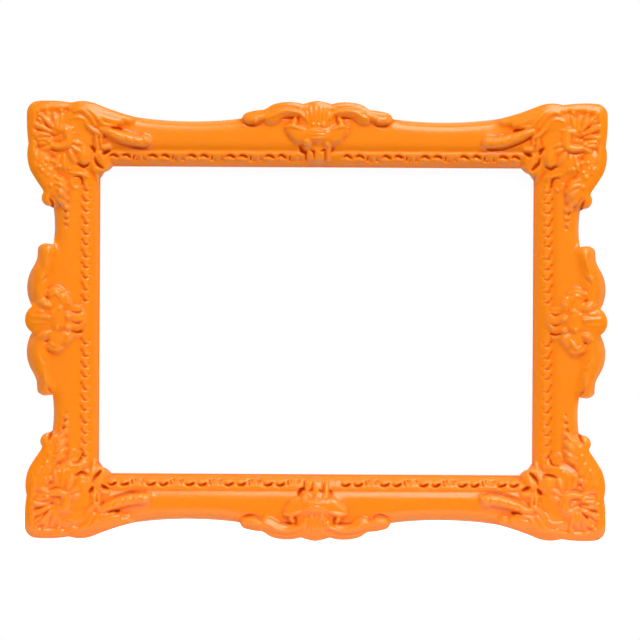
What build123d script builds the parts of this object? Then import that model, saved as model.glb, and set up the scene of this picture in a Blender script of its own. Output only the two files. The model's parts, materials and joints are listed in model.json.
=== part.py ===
from build123d import *
from math import atan2, cos, degrees, floor, hypot, radians, sin
import os

os.makedirs("parts", exist_ok=True)

# Driving sizes in millimetres. X runs to the right and Z up; the carved front faces -Y.
# The origin is the middle of the opening, on the back plane that meets the steel surface.
print_width = 180.0
print_height = 130.0
print_lap = 4.0
rail_width = 17.9
overrun = 1.0

# Outline: how far the carved corners and the crests stand out of the plain rails
top_crest_half = 31.3
top_crest_rise = 8.4
side_crest_half = 31.2
side_crest_rise = 11.4
corner_span = 43.5
corner_drop = 44.1
corner_rise_x = 11.6
corner_rise_z = 8.0

# Rear cover, window and the hollow of the moulding, forward from the back plane
cover_thickness = 2.0
cover_clearance = 0.2
window_thickness = 1.2
window_hold = 2.0
window_clearance = 0.25
window_corner_radius = 1.0
print_clearance = 0.5
outer_wall = 2.6
inner_wall = 1.7
skin = 2.0
crown_skin = 3.2
hollow_step = 3.8
rib_thickness = 1.2
rib_offset = 4.0
root_lap = 0.3

# Rail section, outward from the sight edge: lip, bevel, strip, bead, ogee, crown and shoulder
lip_thickness = 1.8
bevel_width = 2.5
bevel_rise = 2.0
bevel_swell_share = 0.65
strip_width = 4.3
bead_width = 1.5
bead_rise = 1.0
quirk_rise = 0.3
ogee_rise = 3.9
crown_inset = 3.2
shoulder_inset = 1.9
shoulder_drop = 1.3
wall_inset = 0.9
wall_drop = 3.6
carving_rise = 2.6
leaf_rise = 1.3
boss_rise = 1.9
low_carving_rise = 2.8

# Magnets and their cups in the rear cover
magnet_diameter = 10.0
magnet_thickness = 3.0
magnet_clearance = 0.1
magnet_edge = 0.3
cup_wall = 1.2
cup_floor = 1.0

# Countersunk self-tapping screws and the bosses that take them
screw_diameter = 2.2
screw_head_diameter = 4.2
screw_head_height = 1.2
screw_length = 6.0
screw_tip = 1.0
recess_width = 0.6
recess_depth = 0.5
thread_clearance = 0.05
head_clearance = 0.05
hole_clearance = 0.2
hole_spare = 0.6
boss_diameter = 5.4
screw_top_share = 0.33

# Egg and block strip, along the long rails and the short rails
egg_length = 5.2
small_egg_length = 4.5
block_length = 4.4
egg_gap = 0.4
egg_set_back = 0.25
egg_rim = 0.9
egg_rise = 1.1
reed_width = 0.7
reeds_per_block = 3
middle_gap = 8.6
corner_gap = 5.0
side_middle_gap = 8.2
side_corner_gap = 12.0
side_pitch_share = 0.85

# Lines and levels that the sizes above give
sight_width = print_width - 2 * print_lap
sight_height = print_height - 2 * print_lap
sight_x = sight_width / 2
sight_z = sight_height / 2
rail_x = sight_x + rail_width
rail_z = sight_z + rail_width
corner_x = rail_x + corner_rise_x
corner_z = rail_z + corner_rise_z
strip_end = bevel_width + strip_width
quirk_start = strip_end + bead_width
ogee_end = rail_width - crown_inset
window_lap = print_lap + window_hold
pocket_lap = window_lap + window_clearance
hollow_start = pocket_lap + inner_wall
lip_level = cover_thickness + window_thickness + lip_thickness
strip_level = lip_level + bevel_rise
quirk_level = strip_level + quirk_rise
crown_level = quirk_level + ogee_rise
hollow_level = crown_level - crown_skin
carving_base = strip_level - overrun
low_carving_level = strip_level + low_carving_rise
leaf_level = crown_level + leaf_rise

# Quarter of the outline from the middle of the top to the middle of the right side. Each row is
# a point as shares of its crest or corner, then the bulge of the edge after it as a share of
# that edge's length, out of the frame where it is positive.
top_crest_shares = [
    (0.00, 1.00, 0.03), (0.18, 0.86, 0.07), (0.54, 0.85, 0.06), (0.66, 0.65, -0.06),
    (0.80, 0.49, 0.17), (1.00, 0.17, 0.00),
]
corner_shares = [
    (1.00, 0.145, -0.02), (0.655, 0.034, 0.09), (0.402, 0.014, 0.035), (0.115, 0.006, 0.19),
    (0.007, 0.116, 0.025), (0.011, 0.410, 0.085), (0.037, 0.651, 0.00), (0.117, 0.814, 0.08),
    (0.140, 0.918, 0.02), (0.253, 1.002, 0.00),
]
side_crest_shares = [
    (0.035, 1.00, 0.00), (0.395, 0.965, 0.20), (0.630, 0.846, -0.05), (0.780, 0.641, 0.087),
    (0.903, 0.167, 0.05), (1.00, 0.00, 0.00),
]


def quarter_outline():
    """Points of one quarter, each with the bulge of the edge that follows it."""
    points = [(top_crest_half * a, rail_z + top_crest_rise * b, c) for a, b, c in top_crest_shares]
    points += [(corner_x - corner_span * a, corner_z - corner_drop * b, c) for a, b, c in corner_shares]
    points += [(rail_x + side_crest_rise * a, side_crest_half * b, c) for a, b, c in side_crest_shares]
    # the plain rails sag to their own line half way along
    long_start, long_end = len(top_crest_shares) - 1, len(top_crest_shares)
    points[long_start] = with_sag(points[long_start], points[long_end], 1, rail_z)
    short_start = len(top_crest_shares) + len(corner_shares) - 1
    points[short_start] = with_sag(points[short_start], points[short_start + 1], 0, rail_x)
    return points


def with_sag(start, end, axis, line):
    """The start point with the bulge that makes the edge to the end touch a line."""
    length = hypot(end[0] - start[0], end[1] - start[1])
    return (start[0], start[1], (line - (start[axis] + end[axis]) / 2) / length)


def inset_quarter(inset):
    """The quarter of the outline, each point moved in square to its neighbours."""
    quarter = quarter_outline()
    first, last = quarter[1], quarter[-2]
    around = [(-first[0], first[1])] + quarter + [(last[0], -last[1])]
    moved = []
    for (x, z, bulge), before, after in zip(quarter, around, around[2:]):
        run_x, run_z = after[0] - before[0], after[1] - before[1]
        run = hypot(run_x, run_z)
        moved.append((x + inset * run_z / run, z - inset * run_x / run, bulge))
    return moved


def draw_outline(inset):
    """Draw the closed outline as lines and arcs in the active line context."""
    quarter = inset_quarter(inset)
    for (x, z, bulge), (end_x, end_z, _) in zip(quarter, quarter[1:]):
        if bulge == 0:
            Line((x, z), (end_x, end_z))
        else:
            middle = ((x + end_x) / 2 - bulge * (end_z - z), (z + end_z) / 2 + bulge * (end_x - x))
            ThreePointArc((x, z), middle, (end_x, end_z))
    mirror(about=Plane.YZ)
    mirror(about=Plane.XZ)


def front_plane(height):
    """Plane that faces the viewer at a height above the back plane."""
    return Plane.XZ.offset(height)


def leaf(root, tip, width):
    """Leaf or flute as a face: two arcs that meet in a point at the root and at the tip."""
    run = (tip[0] - root[0], tip[1] - root[1])
    length = hypot(*run)
    across = (-run[1] / length * width / 2, run[0] / length * width / 2)
    middle = ((root[0] + tip[0]) / 2, (root[1] + tip[1]) / 2)
    with BuildSketch() as shape:
        with BuildLine():
            ThreePointArc(root, (middle[0] + across[0], middle[1] + across[1]), tip)
            ThreePointArc(tip, (middle[0] - across[0], middle[1] - across[1]), root)
        make_face()
    return shape.sketch


# Carving of the top right corner, made once and mirrored to the others. Places are shares of
# the corner's span and drop, measured inward from the corner of the outline; each leaf has a
# root, a tip and a width, which is a share of the span.
fan_centre_share = (0.31, 0.33)
fan_flutes = 6
fan_start_angle = -16.0
fan_sweep = 122.0
fan_flute_share = 0.26
fan_flute_width = 3.0
scroll_radius = 5.0
scroll_width = 3.6
scroll_start_angle = 112.0
scroll_sweep = 176.0
ray_flutes = 7
ray_start_angle = 150.0
ray_sweep = 126.0
ray_inner_share = 0.17
ray_outer_share = 0.32
ray_width = 2.2
knob_share = (0.20, 0.94)
knob_diameter = 5.6
high_leaf_shares = [
    ((0.43, 0.08), (0.86, 0.23), 0.083), ((0.50, 0.20), (1.13, 0.42), 0.097),
    ((0.62, 0.10), (0.99, 0.31), 0.069), ((0.08, 0.44), (0.10, 0.72), 0.092),
    ((0.42, 0.66), (0.30, 0.88), 0.074), ((0.30, 0.62), (0.18, 0.86), 0.078),
    ((0.36, 0.86), (0.40, 1.14), 0.055), ((0.12, 0.10), (0.42, 0.05), 0.064),
]
low_leaf_shares = [((0.55, 0.52), (0.57, 0.67), 0.106), ((0.60, 0.47), (0.745, 0.655), 0.092)]


def corner_place(share_in, share_down):
    """Point of the top right corner from shares of its span."""
    return (corner_x - corner_span * share_in, corner_z - corner_drop * share_down)


fan_centre = corner_place(*fan_centre_share)
with BuildPart() as corner_carving:
    # low rays round the scroll, the tongue below them and the curl across the sight corner
    with BuildSketch(front_plane(carving_base)):
        for root_share, tip_share, width_share in low_leaf_shares:
            add(leaf(corner_place(*root_share), corner_place(*tip_share), corner_span * width_share))
        for i in range(ray_flutes):
            angle = radians(ray_start_angle + ray_sweep * i / (ray_flutes - 1))
            reach = [corner_span * ray_inner_share, corner_span * ray_outer_share]
            ends = [(fan_centre[0] + r * cos(angle), fan_centre[1] + r * sin(angle)) for r in reach]
            add(leaf(*ends, ray_width))
    extrude(amount=low_carving_level - carving_base)
    # leaves that run out along both rails
    with BuildSketch(front_plane(carving_base)):
        for root_share, tip_share, width_share in high_leaf_shares:
            add(leaf(corner_place(*root_share), corner_place(*tip_share), corner_span * width_share))
    extrude(amount=leaf_level - carving_base)
    # shell fan in the corner and the thick scroll that turns round its foot
    with BuildSketch(front_plane(carving_base)):
        for i in range(fan_flutes):
            angle = radians(fan_start_angle + fan_sweep * i / (fan_flutes - 1))
            reach = corner_span * fan_flute_share
            tip = (fan_centre[0] + reach * cos(angle), fan_centre[1] + reach * sin(angle))
            add(leaf(fan_centre, tip, fan_flute_width))
        scroll_line = CenterArc(
            fan_centre, scroll_radius, scroll_start_angle, scroll_sweep, mode=Mode.PRIVATE
        )
        SlotArc(scroll_line, scroll_width)
    extrude(amount=crown_level + carving_rise - carving_base)
    # round knob at the foot of the side leaf
    with BuildSketch(front_plane(carving_base)):
        with Locations(corner_place(*knob_share)):
            Circle(knob_diameter / 2)
    extrude(amount=leaf_level - carving_base)

# Crest carving: a fan of reeds over a boss between two wings, with leaf tips below and a scroll
# arm on each side. Places are shares of the crest's half length and of its depth.
crest_reed_shares = (-0.09, -0.045, 0.0, 0.045, 0.09)
crest_reed_width = 1.2
crest_reed_foot_share = 0.53
crest_reed_top_share = 0.86
crest_boss_width = 8.0
crest_boss_height = 5.6
crest_boss_radius = 1.9
crest_boss_share = 0.30
crest_wing_shares = ((0.13, 0.40), (0.40, 0.50))
crest_wing_width = 4.4
crest_tip_shares = (-0.14, -0.05, 0.04, 0.12)
crest_tip_reach_share = -0.24
crest_tip_width = 1.6
crest_arm_shares = [((0.17, 0.66), (0.33, 0.84), (0.56, 0.70)), ((0.52, 0.70), (0.72, 0.56), (0.90, 0.55))]
crest_arm_width = 3.4


def crest_plane(x, z, height):
    """Plane of a crest: its X runs along the rail and its Y out of the frame."""
    along = (1, 0, 0) if z > 0 else (-1, 0, 0) if z < 0 else (0, 0, -1) if x > 0 else (0, 0, 1)
    return Plane(origin=(x, -height, z), x_dir=along, z_dir=(0, -1, 0))


def crest_wings(half, depth):
    """Wings and scroll arms of one crest as faces."""
    with BuildSketch() as shape:
        for side in (-1, 1):
            (wing_u, wing_v), (end_u, end_v) = crest_wing_shares
            root, high_tip = (side * half * wing_u, depth * wing_v), (side * half * end_u, depth * end_v)
            low_root, low_tip = (root[0], depth * crest_boss_share), (high_tip[0], depth * wing_v)
            add(leaf(root, high_tip, crest_wing_width))
            add(leaf(low_root, low_tip, crest_wing_width))
            for arm in crest_arm_shares:
                places = [(side * half * u, depth * v) for u, v in arm]
                SlotArc(Edge.make_three_point_arc(*places), crest_arm_width)
    return shape.sketch


def crest_tips(half, depth):
    """Leaf tips that hang from the boss over the egg strip as faces."""
    with BuildSketch() as shape:
        for share in crest_tip_shares:
            foot = (half * share, depth * crest_boss_share)
            tip = (half * share, depth * crest_tip_reach_share)
            add(leaf(foot, tip, crest_tip_width))
    return shape.sketch


def crest_boss(half, depth):
    """Raised reeds and boss of one crest as faces."""
    foot, top = depth * crest_reed_foot_share, depth * crest_reed_top_share
    with BuildSketch() as shape:
        with Locations([(half * share, (foot + top) / 2) for share in crest_reed_shares]):
            SlotOverall(top - foot, crest_reed_width, rotation=90)
        with Locations((0, depth * crest_boss_share)):
            RectangleRounded(crest_boss_width, crest_boss_height, crest_boss_radius)
    return shape.sketch


strip_x, strip_z = sight_x + strip_end, sight_z + strip_end
top_crest_depth = rail_z + top_crest_rise - strip_z
side_crest_depth = rail_x + side_crest_rise - strip_x
crests = [
    (0, strip_z, top_crest_half, top_crest_depth), (0, -strip_z, top_crest_half, top_crest_depth),
    (strip_x, 0, side_crest_half, side_crest_depth), (-strip_x, 0, side_crest_half, side_crest_depth),
]

with BuildPart() as crest_carving:
    for x, z, half, depth in crests:
        for faces, level in [(crest_tips(half, depth), low_carving_level),
                             (crest_wings(half, depth), leaf_level),
                             (crest_boss(half, depth), crown_level + boss_rise)]:
            with BuildSketch(crest_plane(x, z, carving_base)):
                add(faces)
            extrude(amount=level - carving_base)


def egg_face(length):
    """Egg with a raised rim: round end out of the frame, open towards the sight edge."""
    radius = length / 2
    depth = strip_width - egg_set_back
    with BuildSketch() as shape:
        with Locations((0, -egg_set_back - radius)):
            Circle(radius)
        with Locations((0, -egg_set_back - (depth + radius) / 2)):
            Rectangle(length, depth - radius)
        with Locations((0, -egg_set_back - radius)):
            Circle(radius - egg_rim, mode=Mode.SUBTRACT)
        with Locations((0, -egg_set_back - (depth + overrun + radius) / 2)):
            Rectangle(length - 2 * egg_rim, depth + overrun - radius, mode=Mode.SUBTRACT)
    return shape.sketch


def block_face(length):
    """Square block cut into three upright reeds."""
    depth = strip_width - egg_set_back
    with BuildSketch() as shape:
        with Locations((0, -egg_set_back - depth / 2)):
            with GridLocations(length / reeds_per_block, depth, reeds_per_block, 1):
                Rectangle(reed_width, depth)
    return shape.sketch


def strip_motifs(half_length, start_gap, end_gap, pitch_share):
    """Each motif of a rail's strip with its places: a large egg, a small egg and a block."""
    lengths = [egg_length * pitch_share, small_egg_length * pitch_share, block_length * pitch_share]
    pitch = sum(lengths) + egg_gap * len(lengths)
    count = floor((half_length - start_gap - end_gap) / pitch)
    firsts = [start_gap + pitch * k for k in range(count)]
    firsts += [-start_gap - pitch * (k + 1) for k in range(count)]
    motifs = []
    reach = 0
    for length, face in zip(lengths, [egg_face, egg_face, block_face]):
        motifs.append((face(length), [(first + reach + length / 2, 0) for first in firsts]))
        reach += length + egg_gap
    return motifs


long_motifs = strip_motifs(sight_x, middle_gap, corner_gap, 1)
short_motifs = strip_motifs(sight_z, side_middle_gap, side_corner_gap, side_pitch_share)
with BuildPart() as egg_strip:
    for x, z, motifs in [(0, strip_z, long_motifs), (0, -strip_z, long_motifs),
                         (strip_x, 0, short_motifs), (-strip_x, 0, short_motifs)]:
        with BuildSketch(crest_plane(x, z, strip_level - overrun)):
            for face, places in motifs:
                with Locations(places):
                    add(face)
        extrude(amount=overrun + egg_rise)

# Places of the screws, ribs and magnets inside the hollow back
hollow_x, hollow_z = sight_x + hollow_start, sight_z + hollow_start
boss_lap = (hollow_start + rail_width - outer_wall) / 2
screw_along_top = top_crest_half + (sight_x - top_crest_half) * screw_top_share
screw_along_side = (side_crest_half + corner_z - corner_drop) / 2
screw_places = [(sx * screw_along_top, sz * (sight_z + boss_lap)) for sx in (-1, 1) for sz in (-1, 1)]
screw_places += [(sx * (sight_x + boss_lap), sz * screw_along_side) for sx in (-1, 1) for sz in (-1, 1)]
rib_lines = (top_crest_half + rib_offset, corner_x - corner_span)
rib_places = [(sx * x, sz * (sight_z + boss_lap)) for x in rib_lines for sx in (-1, 1) for sz in (-1, 1)]
rib_span = rail_width - outer_wall - hollow_start + 2 * root_lap
magnet_x = (hollow_x + corner_x - outer_wall) / 2
magnet_z = (hollow_z + corner_z - outer_wall) / 2
magnet_places = {
    "magnet_top_left": (-magnet_x, magnet_z), "magnet_top_middle": (0, magnet_z),
    "magnet_top_right": (magnet_x, magnet_z), "magnet_side_left": (-magnet_x, 0),
    "magnet_side_right": (magnet_x, 0), "magnet_bottom_left": (-magnet_x, -magnet_z),
    "magnet_bottom_middle": (0, -magnet_z), "magnet_bottom_right": (magnet_x, -magnet_z),
}

# Front moulding: carved shell with the sight opening, rebate for the window and hollow back
with BuildPart() as front_moulding:
    for level, inset in [(0, 0), (crown_level - wall_drop, wall_inset),
                         (crown_level - shoulder_drop, shoulder_inset), (crown_level, crown_inset)]:
        with BuildSketch(front_plane(level)):
            with BuildLine():
                draw_outline(inset)
            make_face()
    loft(ruled=True)
    # sight bevel, strip, bead and ogee, swept round the opening with mitred corners
    with BuildLine(Plane.XZ) as sight_path:
        Polyline((0, sight_z), (sight_x, sight_z), (sight_x, -sight_z), (-sight_x, -sight_z),
                 (-sight_x, sight_z), close=True)
    ogee_foot, ogee_top = (quirk_start, quirk_level), (ogee_end, crown_level)
    ogee_middle = ((quirk_start + ogee_end) / 2, (quirk_level + crown_level) / 2)
    bead_top = ((quirk_start + strip_end) / 2, strip_level + bead_rise)
    bevel_middle = (bevel_width * (1 - bevel_swell_share), lip_level + bevel_rise * bevel_swell_share)
    with BuildSketch(Plane(origin=(0, 0, sight_z), x_dir=(0, 0, 1), z_dir=(1, 0, 0))):
        with BuildLine():
            Polyline((-overrun, 0), (-overrun, crown_level + overrun),
                     (ogee_end, crown_level + overrun), ogee_top)
            Spline(ogee_top, ogee_middle, ogee_foot, tangents=[(-1, 0), (-1, 0)])
            ThreePointArc(ogee_foot, bead_top, (strip_end, strip_level))
            Line((strip_end, strip_level), (bevel_width, strip_level))
            ThreePointArc((bevel_width, strip_level), bevel_middle, (0, lip_level))
            Polyline((0, lip_level), (0, 0), (-overrun, 0))
        make_face()
    sweep(path=sight_path.wire(), transition=Transition.RIGHT, mode=Mode.SUBTRACT)
    # the opening itself, with the rest of the plate inside the swept band
    with BuildSketch(front_plane(0)):
        Rectangle(sight_width, sight_height)
    extrude(amount=crown_level + overrun, mode=Mode.SUBTRACT)
    # carving
    right_corners = [corner_carving.part, mirror(corner_carving.part, about=Plane.XY)]
    left_corners = [mirror(corner, about=Plane.YZ) for corner in right_corners]
    add(right_corners + left_corners + [crest_carving.part, egg_strip.part])

    # seat of the rear cover, pocket of the window and the hollow in two steps under the skin
    with BuildSketch(front_plane(0)):
        with BuildLine():
            draw_outline(outer_wall)
        make_face()
    extrude(amount=cover_thickness, mode=Mode.SUBTRACT)
    with BuildSketch(front_plane(cover_thickness)):
        Rectangle(sight_width + 2 * pocket_lap, sight_height + 2 * pocket_lap)
    extrude(amount=window_thickness, mode=Mode.SUBTRACT)
    for lap, level in [(hollow_start, quirk_level - skin), (hollow_start + hollow_step, hollow_level)]:
        with BuildSketch(front_plane(cover_thickness)):
            with BuildLine():
                draw_outline(outer_wall)
            make_face()
            Rectangle(sight_width + 2 * lap, sight_height + 2 * lap, mode=Mode.SUBTRACT)
        extrude(amount=level - cover_thickness, mode=Mode.SUBTRACT)
    # screw bosses and ribs that reach the skin, with blind pilot holes in the bosses
    with BuildSketch(front_plane(cover_thickness)):
        with Locations(screw_places):
            Circle(boss_diameter / 2)
        with Locations(rib_places):
            Rectangle(rib_thickness, rib_span)
    extrude(amount=hollow_level + root_lap - cover_thickness)
    with BuildSketch(front_plane(cover_thickness)):
        with Locations(screw_places):
            Circle(screw_diameter / 2 + thread_clearance)
    extrude(amount=screw_length + hole_spare - cover_thickness, mode=Mode.SUBTRACT)

front_moulding.part.label = "front_moulding"
export_step(front_moulding.part, "parts/front_moulding.step")

# Rear cover: flat ring with a cup for each magnet and a countersunk hole for each screw
cup_radius = magnet_diameter / 2 + magnet_clearance
with BuildPart() as rear_cover:
    with BuildSketch(front_plane(0)):
        with BuildLine():
            draw_outline(outer_wall + cover_clearance)
        make_face()
    extrude(amount=cover_thickness)
    with BuildSketch(front_plane(0)):
        with Locations(list(magnet_places.values())):
            Circle(cup_radius + cup_wall)
    extrude(amount=magnet_thickness + cup_floor)
    with BuildSketch(front_plane(0)):
        Rectangle(print_width + 2 * print_clearance, print_height + 2 * print_clearance)
    extrude(amount=cover_thickness, mode=Mode.SUBTRACT)
    with BuildSketch(front_plane(0)):
        with Locations(list(magnet_places.values())):
            Circle(cup_radius)
    extrude(amount=magnet_thickness, mode=Mode.SUBTRACT)
    sink_angle = 2 * degrees(atan2((screw_head_diameter - screw_diameter) / 2, screw_head_height))
    with Locations(Plane(origin=(0, 0, 0), x_dir=(1, 0, 0), z_dir=(0, 1, 0))):
        with Locations([(x, -z) for x, z in screw_places]):
            CounterSinkHole(screw_diameter / 2 + hole_clearance, screw_head_diameter / 2 + head_clearance,
                            depth=cover_thickness, counter_sink_angle=sink_angle)

rear_cover.part.label = "rear_cover"
export_step(rear_cover.part, "parts/rear_cover.step")

# Clear window: thin sheet held at its edges between the moulding and the rear cover
with BuildPart() as clear_window:
    with BuildSketch(front_plane(cover_thickness)):
        RectangleRounded(sight_width + 2 * window_lap, sight_height + 2 * window_lap, window_corner_radius)
    extrude(amount=window_thickness)

clear_window.part.label = "clear_window"
export_step(clear_window.part, "parts/clear_window.step")

# Disc magnets, flush with the back plane in the cups of the rear cover
for name, place in magnet_places.items():
    with BuildPart() as magnet:
        with BuildSketch(front_plane(0)):
            with Locations(place):
                Circle(magnet_diameter / 2)
        extrude(amount=magnet_thickness)
        chamfer(magnet.edges(), magnet_edge)
    magnet.part.label = name
    export_step(magnet.part, f"parts/{name}.step")

# Cover screws: countersunk head with a cross recess, plain core of the thread and a blunt tip
head_radius, core_radius = screw_head_diameter / 2, screw_diameter / 2
with BuildPart() as one_screw:
    with BuildSketch(Plane.XY):
        with BuildLine():
            Polyline((0, 0), (head_radius, 0), (core_radius, -screw_head_height),
                     (core_radius, screw_tip - screw_length), (core_radius / 2, -screw_length),
                     (0, -screw_length), close=True)
        make_face()
    revolve(axis=Axis.Y)
    with BuildSketch(front_plane(0)):
        Rectangle(screw_diameter, recess_width)
        Rectangle(recess_width, screw_diameter)
    extrude(amount=recess_depth, mode=Mode.SUBTRACT)

with BuildPart() as cover_screws:
    with Locations([(x, 0, z) for x, z in screw_places]):
        add(one_screw.part)

cover_screws.part.label = "cover_screws"
export_step(cover_screws.part, "parts/cover_screws.step")
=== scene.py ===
import json
import math

import bmesh
import bpy
import numpy as np
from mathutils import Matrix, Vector
from mathutils.geometry import tessellate_polygon

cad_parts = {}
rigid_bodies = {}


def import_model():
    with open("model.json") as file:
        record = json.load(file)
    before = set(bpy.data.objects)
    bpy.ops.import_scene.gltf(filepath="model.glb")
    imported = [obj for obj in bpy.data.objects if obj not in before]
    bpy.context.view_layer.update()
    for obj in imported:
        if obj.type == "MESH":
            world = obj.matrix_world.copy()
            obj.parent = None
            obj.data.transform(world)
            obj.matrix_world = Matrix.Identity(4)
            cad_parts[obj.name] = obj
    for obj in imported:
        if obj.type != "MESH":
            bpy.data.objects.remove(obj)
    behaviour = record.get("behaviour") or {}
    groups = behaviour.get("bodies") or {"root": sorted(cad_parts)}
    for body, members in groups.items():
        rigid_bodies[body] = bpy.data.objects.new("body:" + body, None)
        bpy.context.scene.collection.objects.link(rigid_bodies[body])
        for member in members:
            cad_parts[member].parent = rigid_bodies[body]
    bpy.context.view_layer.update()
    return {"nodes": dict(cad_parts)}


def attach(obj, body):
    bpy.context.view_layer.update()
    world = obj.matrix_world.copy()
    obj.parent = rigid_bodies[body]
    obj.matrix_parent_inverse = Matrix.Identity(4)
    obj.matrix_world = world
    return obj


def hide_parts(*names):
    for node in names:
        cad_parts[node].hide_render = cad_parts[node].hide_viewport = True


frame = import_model()

# Front moulding: the carved orange shell, one injection moulding of glossy plastic. Its relief is
# a field of heights over the front, carved stroke by stroke in millimetres, then closed with the
# drafted outer wall, the sight edge and the hollow back that the window and rear cover sit in.
mm = 0.001
sight_x, sight_z = 85.75, 60.75
rail_width = 18.15
top_crest_half, top_crest_rise = 31.3, 8.4
side_crest_half, side_crest_rise = 31.2, 11.4
corner_span, corner_drop = 43.5, 44.1
corner_rise_x, corner_rise_z = 11.6, 8.0
rail_x, rail_z = sight_x + rail_width, sight_z + rail_width
corner_x, corner_z = rail_x + corner_rise_x, rail_z + corner_rise_z

# Outline of one quarter from the middle of the top to the middle of the right side, as shares of
# its crest or corner, each with the bulge of the edge after it
top_crest_shares = [
    (0.00, 0.985, 0.03), (0.18, 0.83, 0.07), (0.54, 0.83, 0.05), (0.62, 0.67, -0.03),
    (0.68, 0.55, 0.03), (0.87, 0.44, 0.17), (0.95, 0.15, 0.00),
]
corner_shares = [
    (1.00, 0.145, -0.02), (0.655, 0.034, 0.09), (0.423, 0.021, 0.03), (0.115, 0.008, 0.19),
    (0.012, 0.116, 0.022), (0.028, 0.398, 0.085), (0.053, 0.651, 0.01), (0.159, 0.810, 0.00),
    (0.168, 0.837, 0.33), (0.222, 0.955, 0.00), (0.256, 0.972, 0.00),
]
side_crest_shares = [
    (0.035, 0.955, 0.00), (0.280, 0.971, 0.08), (0.430, 0.955, 0.18), (0.570, 0.880, 0.00),
    (0.590, 0.780, -0.03), (0.772, 0.641, 0.135), (0.760, 0.165, 0.13), (1.00, 0.00, 0.00),
]

# Levels forward of the back plane
rim_level, cover_level, lip_level, sight_level = 0.25, 2.0, 3.2, 5.5
wall_level, crown_level, top_level = 7.1, 10.1, 13.75
low_roof_level, roof_level = 5.3, 7.7
# Insets from the outline, and laps outward from the sight edge
rim_break, wall_inset, outer_wall, crown_inset = 0.2, 0.3, 2.6, 6.4
pocket_lap, hollow_lap, step_lap = 6.5, 8.2, 12.0
# Plain rail across its width, as places outward from the sight edge and rises over its level
rail_profile = [
    (0.0, 0.0), (0.8, 0.85), (1.6, 1.55), (2.4, 2.13), (3.2, 2.59), (4.0, 2.98), (4.7, 3.28), (5.2, 3.36),
    (6.0, 3.12), (6.5, 3.06), (6.9, 3.17), (7.3, 3.38), (7.7, 3.62), (8.1, 3.84), (8.5, 4.03), (9.0, 4.22),
    (9.6, 4.38), (10.4, 4.52), (11.5, 4.6),
]
# The carving's highest level at places inward from the outline
edge_limits = [(0.0, 10.0), (0.3, 10.85), (2.7, 12.05), (3.6, 12.7), (7.0, top_level)]

# Spacing of the grid that the relief is worked out on
step = 1 / 3


def with_sag(start, end, axis, line):
    """The start point with the bulge that makes the edge to the end touch a line."""
    length = math.hypot(end[0] - start[0], end[1] - start[1])
    return (start[0], start[1], (line - (start[axis] + end[axis]) / 2) / length)


def quarter_outline(crest_shares, lobe_shares, side_shares):
    """Points of one quarter, each with the bulge of the edge that follows it."""
    points = [(top_crest_half * a, rail_z + top_crest_rise * b, c) for a, b, c in crest_shares]
    points += [(corner_x - corner_span * a, corner_z - corner_drop * b, c) for a, b, c in lobe_shares]
    points += [(rail_x + side_crest_rise * a, side_crest_half * b, c) for a, b, c in side_shares]
    long_start = len(crest_shares) - 1
    points[long_start] = with_sag(points[long_start], points[long_start + 1], 1, rail_z)
    short_start = len(crest_shares) + len(lobe_shares) - 1
    points[short_start] = with_sag(points[short_start], points[short_start + 1], 0, rail_x)
    return points


def all_round(line):
    """Closed line, clockwise, from its quarter at the top right."""
    back = line[::-1]
    return np.concatenate([line[:-1], back[:-1] * (1, -1), line[:-1] * (-1, -1), back[:-1] * (-1, 1)])


least_bulge = 1e-6


def outline_loop(inset, spacing, shares=(top_crest_shares, corner_shares, side_crest_shares)):
    """Closed outline moved inward, as evenly numbered points whose order is the same for any inset."""
    quarter = quarter_outline(*shares)
    first, last = quarter[1], quarter[-2]
    around = [(-first[0], first[1])] + quarter + [(last[0], -last[1])]
    moved = []
    for (x, z, bulge), before, after in zip(quarter, around, around[2:]):
        run_x, run_z = after[0] - before[0], after[1] - before[1]
        run = math.hypot(run_x, run_z)
        moved.append((x + inset * run_z / run, z - inset * run_x / run, bulge))
    line = []
    for k in range(len(moved) - 1):
        (x, z, bulge), (end_x, end_z, _) = moved[k], moved[k + 1]
        span = math.hypot(quarter[k + 1][0] - quarter[k][0], quarter[k + 1][1] - quarter[k][1])
        count = max(2, math.ceil(span / spacing))
        half_angle = 2 * math.atan(2 * bulge) if abs(bulge) > least_bulge else least_bulge
        turn = np.linspace(-half_angle, half_angle, count, endpoint=False)
        share = np.sin(turn) / (2 * math.sin(half_angle)) + 0.5
        rise = (np.cos(turn) - math.cos(half_angle)) / (2 * math.sin(half_angle))
        line.append(np.stack([x + share * (end_x - x) - rise * (end_z - z),
                              z + share * (end_z - z) + rise * (end_x - x)], 1))
    return all_round(np.concatenate(line + [np.array([moved[-1][:2]])]))


def nearest_on(line, x, z, closed=True, batch=4000):
    """For each point, the distance to a line, the nearest point on it and its place along it."""
    start = line if closed else line[:-1]
    run = (np.roll(line, -1, 0) if closed else line[1:]) - start
    run_square = (run ** 2).sum(1)
    found = []
    batches = max(1, x.size // batch)
    for px, pz in zip(np.array_split(x, batches), np.array_split(z, batches)):
        to_x, to_z = px[:, None] - start[:, 0], pz[:, None] - start[:, 1]
        share = np.clip((to_x * run[:, 0] + to_z * run[:, 1]) / run_square, 0, 1)
        gap = (to_x - share * run[:, 0]) ** 2 + (to_z - share * run[:, 1]) ** 2
        best = gap.argmin(1)
        row = np.arange(len(px))
        s = share[row, best]
        near = start[best] + s[:, None] * run[best]
        found.append(np.column_stack([np.sqrt(gap[row, best]), near, best + s]))
    found = np.concatenate(found)
    return found[:, 0], found[:, 1:3], found[:, 3]


def is_within(line, x, z):
    """True for each point that lies inside a closed line."""
    inside = np.zeros(x.shape, bool)
    for (ax, az), (bx, bz) in zip(line, np.roll(line, -1, 0)):
        if az != bz:
            crosses = ((az > z) != (bz > z)) & (x < (bx - ax) * (z - az) / (bz - az) + ax)
            inside ^= crosses
    return inside


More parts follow.
